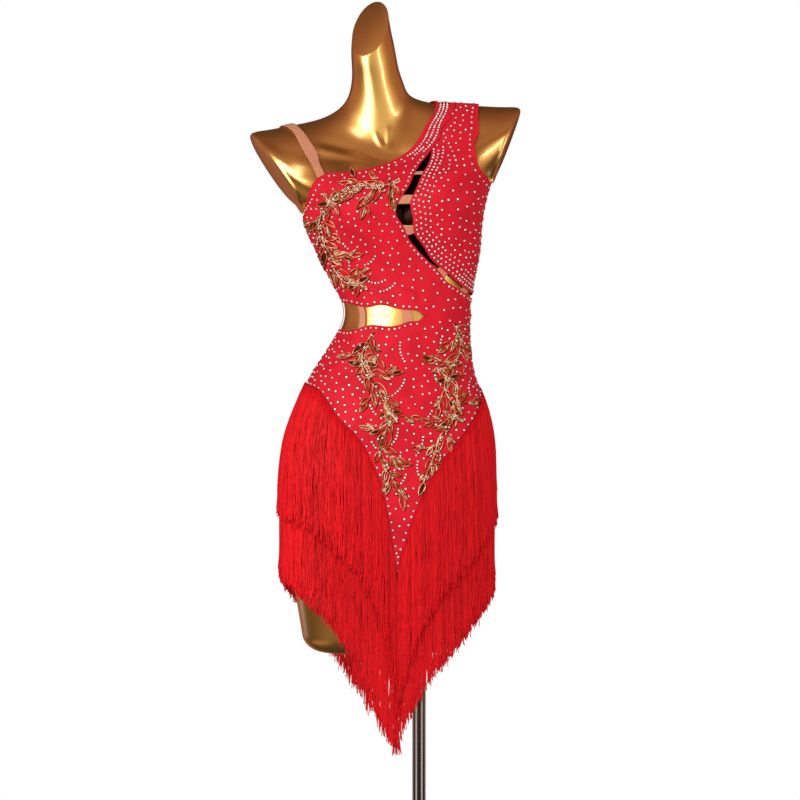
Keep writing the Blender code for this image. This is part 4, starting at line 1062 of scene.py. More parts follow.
def turned(name, profile, finish_name, stands_for):
    """A piece turned about the pole's axis from its (radius, height) profile, in millimetres."""
    bm = bmesh.new()
    verts = [bm.verts.new(Vector((radius, 0, height)) * MM) for radius, height in profile]
    edges = [bm.edges.new(pair) for pair in zip(verts, verts[1:])]
    bmesh.ops.spin(
        bm, geom=[*verts, *edges], cent=(0, 0, 0), axis=(0, 0, 1), angle=math.tau,
        steps=bpy.context.scene.dress_form.turned_steps, use_merge=True,
    )
    bmesh.ops.remove_doubles(bm, verts=bm.verts, dist=1e-6)
    bmesh.ops.recalc_face_normals(bm, faces=bm.faces)
    return piece(mesh_from(bm, name), finish_name, stands_for, 32)


# How much of a turned corner is broken off.
BREAK, POLE_BREAK, BASE_BREAK, HOLE_BREAK, SLEEVE_FILLET = 0.8, 0.5, 1.2, 0.6, 1.5


def top_corner(radius, height, by=BREAK):
    return (radius - by, height), (radius, height - by)


def foot_corner(radius, height, by=BREAK):
    return (radius, height + by), (radius - by, height)


def rounded(radius, height, by, steps=6):
    """Points of a corner of that radius, convex outwards, from its top to its side."""
    return [
        (radius - by * (1 - math.sin(math.radians(t))), height - by * (1 - math.cos(math.radians(t))))
        for t in np.linspace(0, 90, steps)
    ]


class DRESS_OT_stand(Operator):
    """The chrome pole with its flange under the torso, and the round steel base with its collar"""

    bl_idname = "dress.stand"
    bl_label = "Stand"

    def execute(self, context):
        hole, floor, rim = POLE_RADIUS + FIT_GAP, BASE_THICK, BASE_THICK + COLLAR_HEIGHT
        foot, head = BASE_THICK + FIT_GAP, FORM_FOOT - FLANGE_THICK - 2 * FIT_GAP
        top, sleeve = FORM_FOOT - FIT_GAP, hole + FLANGE_WALL
        under, low = top - FLANGE_THICK, top - FLANGE_THICK - FLANGE_SLEEVE
        turned("steel_base", [
            (0, floor), (hole, floor), (hole, rim - HOLE_BREAK), (hole + HOLE_BREAK, rim),
            *rounded(COLLAR_RADIUS, rim, COLLAR_BEVEL), (COLLAR_RADIUS, floor + BREAK), (COLLAR_RADIUS + BREAK, floor),
            *rounded(BASE_RADIUS, floor, BASE_ROUND, 9), *foot_corner(BASE_RADIUS, 0, BASE_BREAK), (0, 0),
        ], "brushed_steel", ["base_plate"])
        turned("chrome_pole", [
            (0, head), *top_corner(POLE_RADIUS, head, POLE_BREAK),
            *foot_corner(POLE_RADIUS, foot, POLE_BREAK), (0, foot),
        ], "chrome_plate", ["pole"])
        turned("chrome_flange", [
            (0, top), *top_corner(FLANGE_RADIUS, top), *foot_corner(FLANGE_RADIUS, under),
            (sleeve + SLEEVE_FILLET, under), (sleeve, under - SLEEVE_FILLET), *foot_corner(sleeve, low), (hole, low),
            (hole, under), (0, under),
        ], "chrome_plate", ["pole_flange"])
        return {"FINISHED"}


# ---- the cloth panels
Panel = namedtuple("Panel", "name places free seams")


def finer(*stretches, by):
    return edge(*((places, steps * by) for places, steps in stretches))


def panel_places(down, across):
    """Each panel's grid of places, the lines where its edge is free, and its seams."""
    gap = SEAM_GAP
    left, right, behind = LEFT_SEAM + gap / 2, (RIGHT_SEAM, RIGHT_SEAM_BACK), RIGHT_SEAM_BACK - gap
    upper_seams = [[(angle, top), (angle, 1118)] for angle, top in zip(right, (1248, 1250))]
    hip_seams = [[(angle, 1068), (angle, 984)] for angle in right]
    waist, tip = (LEFT_SEAM, WAIST), (10, 1088)
    near = shifted(SHOULDER_SEAM, level=gap / 2)
    front = Panel("bodice_front", filled(
        finer((NECKLINE, 14), (UNDERARM, 7), (upper_seams[0], 7), by=down),
        finer((near, 7), ([near[-1], *SLIT_NEAR[1:]], 19), ([SLIT_NEAR[-1], waist], 2), by=down),
        finer(([NECKLINE[0], near[0]], 12), by=across),
        finer(([*CUT_TOP[:-1], tip], 7), ([tip, waist], 5), by=across),
    ), [NECKLINE, UNDERARM, SLIT_NEAR, CUT_TOP], [SHOULDER_SEAM, upper_seams[0]])
    far = shifted(SHOULDER_SEAM, angle=0.2, level=-gap)
    far[0], foot = (SHOULDER, far[0][1]), (LEFT_SEAM, 1124.5)
    bodice_left = Panel("bodice_left", filled(
        finer((far, 7), ([far[-1], *SLIT_FAR[1:]], 18), by=down),
        finer((ARMHOLE, 14), ([ARMHOLE[-1], foot], 11), by=down),
        finer(([far[0], ARMHOLE[0]], 8), by=across),
        finer(([SLIT_FAR[-1], foot], 8), by=across),
    ), [SLIT_FAR, ARMHOLE], [SHOULDER_SEAM, [(LEFT_SEAM, 1280), (LEFT_SEAM, 1124)]])
    outer, inner = shifted(BACK_ARMHOLE, angle=gap / 2), shifted(BACK_EDGE, angle=gap / 2)
    inner[-1] = (behind, 1250)
    back = Panel("bodice_back", filled(
        finer((outer, 12), ([outer[-1], (left, WAIST)], 10), by=down),
        finer((inner, 15), ([inner[-1], (behind, 1118)], 7), by=down),
        finer(([outer[0], inner[0]], 11), by=across),
        finer(([(left, WAIST), BACK_CUT_TOP[0]], 8), ([*BACK_CUT_TOP[:-1], (behind, 1118)], 3), by=across),
    ), [BACK_ARMHOLE, BACK_EDGE, BACK_CUT_TOP], [[(LEFT_SEAM, 1292), waist], upper_seams[1]])
    hip = Panel("hip_front", filled(
        finer((hip_seams[0], 7), by=2 * down),
        finer(([waist, V_LEFT[-1]], 7), by=2 * down),
        finer(([*CUT_FOOT[:-1], tip], 15), ([tip, waist], 12), by=across - 1),
        finer((V_RIGHT, 14), (V_LEFT, 13), by=across - 1),
    ), [CUT_FOOT, V_RIGHT, V_LEFT], [hip_seams[0], [waist, V_LEFT[-1]]])
    hip_back = Panel("hip_back", filled(
        finer(([(left, WAIST), (left, 985)], 7), by=2 * down),
        finer(([(behind, 1068), (behind, 984)], 7), by=2 * down),
        finer(([(left, WAIST), BACK_CUT_FOOT[0]], 12), ([*BACK_CUT_FOOT[:-1], (behind, 1068)], 6), by=across),
        finer(([(left, 985), *BACK_V_LEFT[1:]], 9), ([*BACK_V_RIGHT[:-1], (behind, 984)], 9), by=across),
    ), [BACK_CUT_FOOT, BACK_V_LEFT, BACK_V_RIGHT], [[waist, (LEFT_SEAM, 985)], hip_seams[1]])
    return [front, bodice_left, back, hip, hip_back]


FAR_FROM_EDGE = 99.0


def cloth_piece(name, places, points, wall, free):
    """Jersey on a grid of places, hemmed along its free lines. A degree round the body is 2.7 mm of its weave."""
    mesh, row, column = grid_mesh(f"{name}_cloth", points, metres(places * (2.7, 1)))
    on = body(*split(places))
    away = np.min([np.full(on.shape[:2], FAR_FROM_EDGE), *(nearness(on, on_body(line)) for line in free)], axis=0)
    add_attribute(mesh, "edge_mm", away[row, column])
    made = piece(mesh, "red_stretch_jersey", [name], 60)
    # A joined edge is kept sharp, so that the panels on its two sides shade as one cloth.
    bm = bmesh.new()
    bm.from_mesh(mesh)
    layer = bm.verts.layers.float["edge_mm"]
    for edge in bm.edges:
        if edge.is_boundary and min(vert[layer] for vert in edge.verts) > 1.5:
            edge.smooth = False
    bm.to_mesh(mesh)
    bm.free()
    return walled(made, wall)


class DRESS_OT_panels(Operator):
    """The five fitted panels of red jersey, with creases, turned edges and seams"""

    bl_idname = "dress.panels"
    bl_label = "Fitted Panels"

    def execute(self, context):
        settings = context.scene.dress_cloth
        for panel in panel_places(settings.finer_down, settings.finer_across):
            points = skin(*split(panel.places))
            seam = [nearness(points, on_body(line)) for line in panel.seams]
            dip = SEAM_DIP * np.exp(-((np.min(seam, axis=0) / SEAM_WIDTH) ** 2))
            points = skin(*split(panel.places), -dip)
            # The fringe covers the V edges, so they have no turned hem.
            hemmed = [line for line in panel.free if line not in (V_RIGHT, V_LEFT, BACK_V_LEFT, BACK_V_RIGHT)]
            cloth_piece(panel.name, panel.places, points, PANEL_WALL, hemmed)
        return {"FINISHED"}


class DRESS_OT_underskirt(Operator):
    """The four parts of the short underskirt that carry the lower fringe"""

    bl_idname = "dress.underskirt"
    bl_label = "Underskirt"

    def execute(self, context):
        parts = (
            ("skirt_front_right", V_RIGHT, LOW_RIGHT), ("skirt_front_left", V_LEFT, LOW_LEFT),
            ("skirt_back_left", BACK_V_LEFT, BACK_LOW_LEFT), ("skirt_back_right", BACK_V_RIGHT, BACK_LOW_RIGHT),
        )
        for name, top_places, foot_places in parts:
            top, foot = smooth(shifted(top_places, level=0.8), 52), smooth(foot_places, 52)
            top[0, 0] = foot[0, 0] = max(top[0, 0], foot[0, 0]) + SEAM_GAP / 2
            top[-1, 0] = foot[-1, 0] = min(top[-1, 0], foot[-1, 0]) - SEAM_GAP / 2
            places = filled(edge(([top[0], foot[0]], 16)), edge(([top[-1], foot[-1]], 16)), top, foot)
            # Flush with the fitted panel at its top, where the upper threads cover it, and freer below.
            down = nearness(body(*split(places)), on_body(top_places))
            away = PANEL_AWAY + PANEL_WALL + (SKIRT_AWAY + SKIRT_WALL - PANEL_AWAY - PANEL_WALL) * ease(down / 45)
            points = worn(*split(places), away)
            cloth_piece(name, places, points, SKIRT_WALL, [foot_places])
        return {"FINISHED"}


# ---- the elastics
STRAP_STEPS, STRAP_TUCK, STRAP_SUNK, STRAP_CROWN = 150, 7, 1.5, 0.25
BRIDGE_UNDER, BRIDGE_LOW, BRIDGE_RISE = 4.5, 1.6, 1.3


def elastic(name, places, away, widths):
    """A ribbed band on a grid of places, its outer face that far from the body."""
    points = worn(*split(places), away)
    across = np.broadcast_to(widths[None, :], places.shape[:2])
    along = running(points[:, points.shape[1] // 2])
    uv = metres(np.stack([across, np.broadcast_to(along[:, None], across.shape)], axis=-1))
    mesh, _, _ = grid_mesh(f"{name}_band", points, uv)
    middle = mesh.polygons[len(mesh.polygons) // 2]
    if np.dot(middle.normal, outward(*places[places.shape[0] // 2, places.shape[1] // 2])) < 0:
        mesh.flip_normals()
    return walled(piece(mesh, "nude_elastic", [name], 60), ELASTIC_WALL)


class DRESS_OT_elastics(Operator):
    """The shoulder strap and the short bridges across the slit and the waist's cut-out"""

    bl_idname = "dress.elastics"
    bl_label = "Elastics"

    def execute(self, context):
        places = smooth(STRAP_PATH, STRAP_STEPS)
        # One more step tucks the strap's start under the bodice.
        back_a_step = (places[1] - places[0]) / np.linalg.norm(body(*places[1]) - body(*places[0]))
        places = np.concatenate([[places[0] - back_a_step * STRAP_TUCK], places])
        along = np.concatenate([[-0.02], np.linspace(0, 1, STRAP_STEPS + 1)])
        lift = np.interp(along, *np.transpose(STRAP_LIFT))
        across = np.linspace(-1, 1, 9)
        grid = np.stack([beside(places, side * STRAP_WIDTH / 2) for side in across], axis=1)
        crown = STRAP_CROWN * (1 - across**2)[None, :]
        sunk = STRAP_SUNK * np.clip(1 - along / 0.02, 0, 1)[:, None]
        away = ELASTIC_AWAY + ELASTIC_WALL + lift[:, None] + crown - sunk
        elastic("shoulder_strap", grid, away, across * STRAP_WIDTH / 2)
        side = np.linspace(0, 1, 7)[None, :, None]
        for bridge in BRIDGES:
            near = np.array(bridge.near_a) * (1 - side) + np.array(bridge.near_b) * side
            far = np.array(bridge.far_a) * (1 - side) + np.array(bridge.far_b) * side
            span = np.linalg.norm(body(*near[0, 3]) - body(*far[0, 3]))
            reach = BRIDGE_UNDER / span
            run = np.linspace(-reach, 1 + reach, max(9, round(span / 2.5)))[:, None, None]
            inside = np.minimum(run[..., 0], 1 - run[..., 0]) * span
            # Under the cloth at its ends, and level with the cloth between them.
            away = BRIDGE_LOW + BRIDGE_RISE * ease((inside + 1.0) / 4.0)
            width = np.linalg.norm(body(*near[0, 0]) - body(*near[0, -1]))
            grid = near * (1 - run) + far * run
            elastic(bridge.name, grid, np.broadcast_to(away, grid.shape[:2]), (side[0, :, 0] - 0.5) * width)
        return {"FINISHED"}


# ---- the fringe
# In millimetres: how far threads stray in their row, how high the first layer starts and each next one lower, how
# far apart the layers are, and how much shorter each next one is.
STRAY, ROOT_UP, ROOT_STEP, LAYER_APART, LAYER_SHORTER = 0.35, 1.4, 0.5, 0.85, 1.6
# How far locks sway, the lengths of their waves, how far ends kink and splay, and from which part of a thread.
SWAY, WAVES, KINK, KINK_FROM, SPLAY, SPLAY_FROM = 0.9, (55, 120), 2.3, 0.8, 1.2, 0.88
# How far the threads at a lower tier's point lean past it, and within how far of the point.
CLOSE_LEAN, CLOSE_WITHIN = 6.5, 13
TIER_GAP = 0.25
HEADER_STEPS, HEADER_WALL, HEADER_UV = 60, 0.9, 0.004
HEADER_CROWN = (-1.6, -0.5, -0.1, -0.4, -0.9)


def falling(places, drop, along, hang, layer):
    """Points and outward ways of threads that fall plumb from the body and are pushed out where it swells."""
    angle, root = places.T
    point = worn(angle, root, hang.top_away + layer * 0.3)
    rows, ways = [point.copy()], [level_way(angle, root)]
    for part in along[1:]:
        fall = drop * part
        level = np.maximum(root - fall, RINGS[0].level)
        away = hang.top_away + (hang.low_away - hang.top_away) * ease(fall / hang.settle) + layer
        way = level_way(angle, level)
        push = np.maximum(((worn(angle, level, away) - point) * way).sum(axis=1), 0)
        point = point + way * push[:, None]
        point[:, 2] = root - fall
        rows.append(point.copy())
        ways.append(way)
    return np.stack(rows, axis=1), np.stack(ways, axis=1)


def tier_extra(tier, angle):
    """How much longer than the strand length the threads of a tier are: less at the side seams."""
    middle = -5 if tier.root[0][0] < 90 else 180
    return tier.hang.extra - tier.side_shorter * np.clip((np.abs(angle - middle) - 78) / 28, 0, 1)


def lock_middles(lock, centres):
    """The middle of each thread's lock in plan, at each of its sections."""
    locks, sections = lock.max() + 1, centres.shape[1]
    sums = np.stack([[np.bincount(lock, centres[:, s, k], locks) for k in (0, 1)] for s in range(sections)])
    return (sums / np.maximum(np.bincount(lock, minlength=locks), 1)).transpose(2, 0, 1)[lock]


def tier_threads(tier, settings, rng):
    """A tier's threads as one mesh, and the angles that its row of threads starts and ends at."""
    hang = tier.hang
    ends = body(*smooth(tier.root, 60).T)[:, :2]
    width = np.linalg.norm(np.diff(ends, axis=0), axis=1).sum()
    count = round(width * MM / settings.pitch)
    total = count * settings.layers
    line = smooth(tier.root, count, in_plan=True)
    line[0, 0] += TIER_GAP
    line[-1, 0] -= TIER_GAP
    line = line[:-1] + np.diff(line, axis=0) / 2
    stops = np.linspace(0, width, count)
    across = np.repeat(stops, settings.layers) + rng.normal(0, STRAY, total)
    places = at_lengths(stops, line, across)
    depth = np.tile(np.arange(settings.layers), count)
    places[:, 1] += ROOT_UP - ROOT_STEP * depth
    layer = depth * LAYER_APART + rng.uniform(-0.2, 0.2, total)
    drop = hang.length + tier_extra(tier, places[:, 0]) + rng.normal(0, settings.uneven / MM / 2, total)
    drop -= rng.exponential(hang.short, total) + depth * LAYER_SHORTER
    # The last two rings are close, so that the end's cap doesn't shade the thread above it.
    t = np.append(np.linspace(0, 0.99, settings.sections - 1), 1.0)
    centres, ways = falling(places, drop, t, hang, layer)
    t = t[None, :]
    # Threads of one lock lean to its middle, more towards their ends.
    clumps = np.cumsum(rng.uniform(0.65, 1.4, int(width) + 9) * settings.clump / MM)
    lock = np.searchsorted(clumps, across + rng.normal(0, 0.3, total) + depth * 1.2) * settings.layers + depth
    locks = lock.max() + 1
    pull = settings.pull * rng.uniform(0.5, 1.3, locks)[lock][:, None] * ease((t - 0.01) / 0.25)
    side = unit(np.cross(ways, (0, 0, 1.0)))
    lean = ((lock_middles(lock, centres) - centres[..., :2]) * side[..., :2]).sum(-1)
    sway = rng.normal(0, SWAY, locks)[lock][:, None] * t**1.3
    if hang is LOWER:
        # Threads near the tier's lowest end lean past it, so that the two sides close at the point.
        low_end, toward = (width, ends[-1] - ends[-2]) if line[-1, 1] < line[0, 1] else (0.0, ends[0] - ends[1])
        close = CLOSE_LEAN * np.exp(-np.abs(across - low_end) / CLOSE_WITHIN)[:, None] * t**0.8
        centres[..., :2] += close[..., None] * unit(toward)
    fall = drop[:, None] * t
    phase, waves = rng.uniform(0, math.tau, (2, total, 1)), rng.uniform(*WAVES, (2, total, 1))
    first, second = np.sin(math.tau * fall / waves + phase)
    swing = settings.wave / MM * rng.uniform(0.5, 1.2, (total, 1)) * first * np.minimum(t * 4, 1)
    kink = rng.normal(0, KINK, (total, 1)) * np.clip((t - KINK_FROM) / (1 - KINK_FROM), 0, 1) ** 1.5
    proud = 0.3 * settings.wave / MM * (1 + second) * np.minimum(t * 4, 1)
    proud += np.abs(rng.normal(0, SPLAY, (total, 1))) * np.clip((t - SPLAY_FROM) / (1 - SPLAY_FROM), 0, 1)
    centres = centres + side * (lean * pull + sway + swing + kink)[..., None] + ways * proud[..., None]
    radii = settings.radius / MM * rng.uniform(0.85, 1.12, (total, 1)) * np.where(t > 0.995, 0.8, 1.0)
    tone = np.clip(rng.normal(0.5, 0.17, locks)[lock] + rng.normal(0, 0.17, total), 0.02, 0.98)
    return tubes(f"{tier.name}_threads", centres, ways, radii, sides=3, tone=tone), line[[0, -1], 0]


class DRESS_OT_fringe(Operator):
    """Two tiers of twisted threads, each hanging from a narrow header, drawn together in locks"""

    bl_idname = "dress.fringe"
    bl_label = "Fringe"

    def execute(self, context):
        rng = np.random.default_rng(4)
        headers = []
        for tier in TIERS:
            mesh, ends = tier_threads(tier, context.scene.dress_fringe, rng)
            piece(mesh, "red_rayon_fringe", [tier.name], 180)
            rows = smooth(tier.root, HEADER_STEPS) + np.array([[(0, up)] for up in tier.hang.header])
            rows[:, [0, -1], 0] = ends
            crown = (np.array(HEADER_CROWN) + tier.hang.top_away)[:, None]
            headers.append(worn(*split(rows), np.broadcast_to(crown, rows.shape[:2])))
        strips = len(HEADER_CROWN) - 1
        verts, faces = primitive(bmesh.ops.create_grid, x_segments=HEADER_STEPS, y_segments=strips, size=1)
        row, column = rows_and_columns(verts, strips + 1, HEADER_STEPS + 1)
        points = np.array(headers)[:, row, column]
        # Tone 0 marks the header, which the fringe's finish paints dark as shade.
        uv = np.broadcast_to(np.stack([0.0 * column, column * HEADER_UV], axis=-1), (len(points), len(verts), 2))
        mesh = joined("fringe_headers", faces, points, uv)
        walled(piece(mesh, "red_rayon_fringe", (), 60), HEADER_WALL)
        return {"FINISHED"}


# ---- gold sprays
# Stems in front view, x and z in millimetres, and their branches: how far along from 0 to 1, the side (1 is the
# stem's right), length and curl. Flowers: x, z, radius and turn.
Branch = namedtuple("Branch", "along side length curl")
Spray = namedtuple("Spray", "stem branches")
SPRAYS = [
    Spray(
        [(-30, 1297), (-56, 1285), (-86, 1285), (-112, 1281), (-134, 1264)],
        [(0.10, -1, 24, 0.8), (0.26, 1, 17, 0.5), (0.36, -1, 33, 0.9), (0.56, 1, 18, 0.6), (0.60, -1, 30, -0.7)],
    ),
    Spray(
        [(-136, 1262), (-152, 1238), (-151, 1208), (-139, 1182), (-128, 1160), (-112, 1143), (-92, 1136)],
        [(0.12, -1, 32, 0.8), (0.17, 1, 16, 0.5), (0.33, -1, 36, -0.7), (0.42, 1, 17, 0.5), (0.54, -1, 34, 0.8),
         (0.68, 1, 16, 0.5), (0.80, -1, 26, 0.8)],
    ),
    Spray(
        [(-70, 1062), (-84, 1037), (-87, 1008), (-71, 981), (-51, 956), (-44, 927), (-57, 901), (-62, 875),
         (-51, 849), (-37, 827), (-30, 808)],
        [(0.07, -1, 28, 0.7), (0.12, 1, 25, 0.7), (0.24, -1, 38, 0.9), (0.31, 1, 30, 0.8), (0.42, 1, 36, -0.7),
         (0.49, -1, 30, 0.9), (0.60, 1, 25, 0.7), (0.68, -1, 32, 0.9), (0.79, -1, 27, 0.7), (0.86, 1, 13, 0.4)],
    ),
    Spray(
        [(52, 1077), (62, 1051), (58, 1022), (43, 997), (40, 969), (54, 945), (49, 921), (31, 900), (24, 875),
         (14, 851), (6, 829)],
        [(0.06, 1, 27, 0.7), (0.12, -1, 19, 0.6), (0.23, 1, 36, 0.9), (0.31, -1, 26, 0.7), (0.41, 1, 30, -0.7),
         (0.49, -1, 30, 0.8), (0.58, 1, 34, 0.9), (0.67, -1, 17, 0.6), (0.76, 1, 25, 0.8), (0.87, -1, 12, 0.4)],
    ),
]
FLOWERS = [
    (-136, 1262, 15, 10), (-96, 1140, 14, 35), (-86, 1012, 17, 0), (-46, 936, 13, 15), (43, 990, 16, 20),
    (51, 931, 12, 40),
]
STEM_POINTS = 90
LEAF_GAP, LEAF_LENGTH, BRANCH_LEAF_GAP, BRANCH_LEAF_LENGTH = 13.0, 27.0, 12.0, 22.0
CORD_RADIUS, OUTLINE_RADIUS, VEIN_RADIUS, BEAD_RADIUS = 0.85, 0.74, 0.5, 1.2
SPRAY_LIFT = 0.35
# A tendril's steps, and the angle in degrees at which it leaves its stem.
CURL_STEPS, CURL_LEAVES = 21, 50


def flat_curve(points, count):
    """A smooth curve through front-view points, as so many even ones."""
    points = np.array(points, float)
    dense = through(points, running(points), 20)
    run = running(dense)
    return at_lengths(run, dense, np.linspace(0, run[-1], count))


def leaf_form(base, way, length, width, bend):
    """A leaf's front-view points for u along it from 0 to 1 and v across it from -1 to 1."""
    side = right_of(way)

    def at(u, v):
        half = width / 2 * np.sin(math.pi * u**0.85) ** 0.8 * (1 - 0.25 * u)
        middle = base + (u * length)[..., None] * way + (bend * (u * length) ** 2 / length)[..., None] * side
        return middle + (half * v)[..., None] * side

    return at


def right_of(way):
    return np.stack([way[..., 1], -way[..., 0]], axis=-1)


def walk(start, heading, step):
    """The points met from a start by steps of one length, each on its own heading."""
    steps = np.stack([np.cos(heading), np.sin(heading)], axis=1) * step
    return start + np.concatenate([[[0, 0]], np.cumsum(steps[:-1], axis=0)])


def turned_way(way, degrees):
    """A front-view direction turned to the left."""
    cos, sin = math.cos(math.radians(degrees)), math.sin(math.radians(degrees))
    return np.array([way[0] * cos - way[1] * sin, way[0] * sin + way[1] * cos])


def on_front(flat, lift):
    """Front-view points laid on the cloth, and the outward ways there."""
    angle, level = place_at(*split(flat))
    return skin(angle, level, lift), outward(angle, level)


def merged(name, meshes):
    """One mesh in place of several."""
    bm = bmesh.new()
    for mesh in meshes:
        bm.from_mesh(mesh)
        bpy.data.meshes.remove(mesh)
    return mesh_from(bm, name)


def curl(start, way, side, length, sweep):
    """A tendril that leaves a stem and turns in on itself."""
    t = np.linspace(0, 1, CURL_STEPS + 1)
    heading = math.atan2(way[1], way[0]) + side * (math.radians(CURL_LEAVES) - math.radians(sweep) * t**1.25)
    return walk(start, heading, length / CURL_STEPS)


def leaves_along(stem, gap, length, rng):
    """Leaf forms on both sides of a stem in turn, smaller towards its end, and one at its end."""
    run, ways = running(stem), unit(np.gradient(stem, axis=0))
    found = []
    for number, stop in enumerate(np.arange(gap * 0.8, run[-1] - 2, gap)):
        i = min(np.searchsorted(run, stop + rng.uniform(-0.2, 0.2) * gap), len(run) - 1)
        side = 1 if number % 2 else -1
        long = length * (1 - 0.3 * stop / run[-1]) * rng.uniform(0.68, 1.2)
        way = turned_way(ways[i], -side * rng.uniform(24, 72))
        wide, bend = long * rng.uniform(0.36, 0.52), rng.uniform(-0.5, -0.1) * side
        found.append((stem[i], leaf_form(stem[i], way, long, wide, bend)))
    found.append((stem[-1], leaf_form(stem[-1], ways[-1], length * 0.8, length * 0.34, 0.1)))
    return found


def spray_parts():
    """Front-view stems, branches, curls, leaf and petal forms, bead and stone places of every spray and flower."""
    rng = np.random.default_rng(21)
    stems, branches, curls, leaves, petals, beads, tips = ([] for _ in range(7))
    for spray in SPRAYS:
        stem = flat_curve(spray.stem, STEM_POINTS)
        stems.append(stem)
        leaves += leaves_along(stem, LEAF_GAP, LEAF_LENGTH, rng)
        ways = unit(np.gradient(stem, axis=0))
        for branch in (Branch(*row) for row in spray.branches):
            i = round(branch.along * (len(stem) - 1))
            way = turned_way(ways[i], -branch.side * 42)
            t = np.linspace(0, 1, 24)[:, None]
            side = right_of(way) * branch.side
            line = stem[i] + way * t * branch.length + side * branch.curl * branch.length * 0.4 * t**2
            branches.append(line)
            leaves += leaves_along(line, BRANCH_LEAF_GAP, BRANCH_LEAF_LENGTH, rng)
        # Beads in short rows beside the stem, one side and then the other.
        for i in (i for i in range(2, STEM_POINTS - 2, 2) if i % 32 < 14):
            beads.append(stem[i] + right_of(ways[i]) * 2.6 * (1 if (i // 16) % 2 else -1))
        for number, i in enumerate(range(6, 86, 13)):
            curls.append(curl(stem[i], ways[i], -1 if number % 2 else 1, rng.uniform(20, 30), rng.uniform(170, 290)))
    for x, z, radius, turn in FLOWERS:
        middle = np.array([x, z], float)
        leaves = [(base, form) for base, form in leaves if np.linalg.norm(base - middle) > radius * 0.7]
        for petal in range(6):
            way = turned_way((1.0, 0.0), turn + 60 * petal)
            long = radius * rng.uniform(0.95, 1.3)
            petals.append(leaf_form(middle + way * radius * 0.22, way, long, long * 0.5, 0.15))
        beads += [middle + 3.0 * np.array([math.cos(a), math.sin(a)]) for a in np.arange(6) * math.tau / 6]
        tips.append(middle)
    tips += [stem[i] for stem in stems for i in range(2, STEM_POINTS, 7)]
    tips += [line[-1] for line in curls]
    forms = [form for _, form in leaves]
    for form in (forms + petals)[1::3]:
        beads += list(form(np.linspace(0.16, 0.84, 6), np.zeros(6)))
    return stems, branches, curls, forms, petals, np.array(beads), np.array(tips)


def fills(name, forms, lift):
    """Crowned leaf or petal faces laid on the cloth, joined."""
    verts, faces = primitive(bmesh.ops.create_grid, x_segments=4, y_segments=8, size=1)
    u, v = (verts[:, 1] + 1) / 2, verts[:, 0]
    flat = np.array([form(u, v * 0.72) for form in forms])
    crown = 0.75 * (1 - v**2) * np.sin(math.pi * u)
    points, ways = on_front(flat, lift + crown)
    uv = np.broadcast_to(np.stack([u * 0.02, metres(v * 3 + u * 9)], axis=-1), (*flat.shape[:2], 2))
    mesh = joined(name, faces, points, uv)
    normals = np.array([p.normal[:] for p in mesh.polygons]).reshape(len(forms), len(faces), 3).mean(1)
    if (normals * ways.mean(1)).sum(-1).mean() < 0:
        mesh.flip_normals()
    return mesh


class DRESS_OT_sprays(Operator):
    """Sprays of leaves and flowers in gold cord, bronze thread and beads on the bodice and the hips, with a dark line
    painted as shadow beside each gold line
    """

    bl_idname = "dress.sprays"
    bl_label = "Gold Sprays"

    def execute(self, context):
        stems, branches, curls, leaves, petals, beads, _ = spray_parts()
        stems, branches, curls = np.array(stems), np.array(branches), np.array(curls)
        around, back = np.linspace(0, 1, 9), np.linspace(0, 1, 9)[::-1][1:]

        sideways = right_of(unit(np.gradient(stems, axis=1)))
        rims = [np.concatenate([form(around, around * 0 + 1), form(back, back * 0 - 1)]) for form in leaves + petals]
        veins = [form(np.linspace(0, 0.8, 5), np.zeros(5)) for form in leaves[::4]]
        # Each gold line has a dark one beside it, below and to its left side: a painted shadow.
        under = np.array([1.25, -1.1])
        light = [
            ("stems", stems + 1.2 * sideways, 0.4, CORD_RADIUS), ("branches", branches, 0.2, OUTLINE_RADIUS),
            ("curls", curls, 0.3, OUTLINE_RADIUS), ("outlines", np.array(rims), 0.5, OUTLINE_RADIUS),
            ("veins", np.array(veins), 1.0, VEIN_RADIUS),
        ]
        dark = [
            ("dark_stems", stems - 1.0 * sideways, 0.4, CORD_RADIUS),
            ("dark_branches", branches + under, 0.0, OUTLINE_RADIUS),
            ("dark_curls", curls + under, 0.0, OUTLINE_RADIUS), ("rims", np.array(rims) + under, 0.0, OUTLINE_RADIUS),
        ]
        for finish_name, lines in (("gold_cord", light), ("bronze_thread", dark)):
            made = [tubes(label, *on_front(flat, SPRAY_LIFT + lift), radius, 4) for label, flat, lift, radius in lines]
            if lines is dark:
                made.append(fills("fills", leaves[::9] + petals[::3], 0.15))
            piece(merged(f"{finish_name}s", made), finish_name, smooth_angle=60)
        verts, faces = primitive(bmesh.ops.create_uvsphere, u_segments=6, v_segments=4, radius=1)
        points = on_front(beads, 0.9)[0][:, None] + verts[None] * BEAD_RADIUS
        piece(joined("gold_beads", faces, points), "gold_bead", smooth_angle=60)
        return {"FINISHED"}


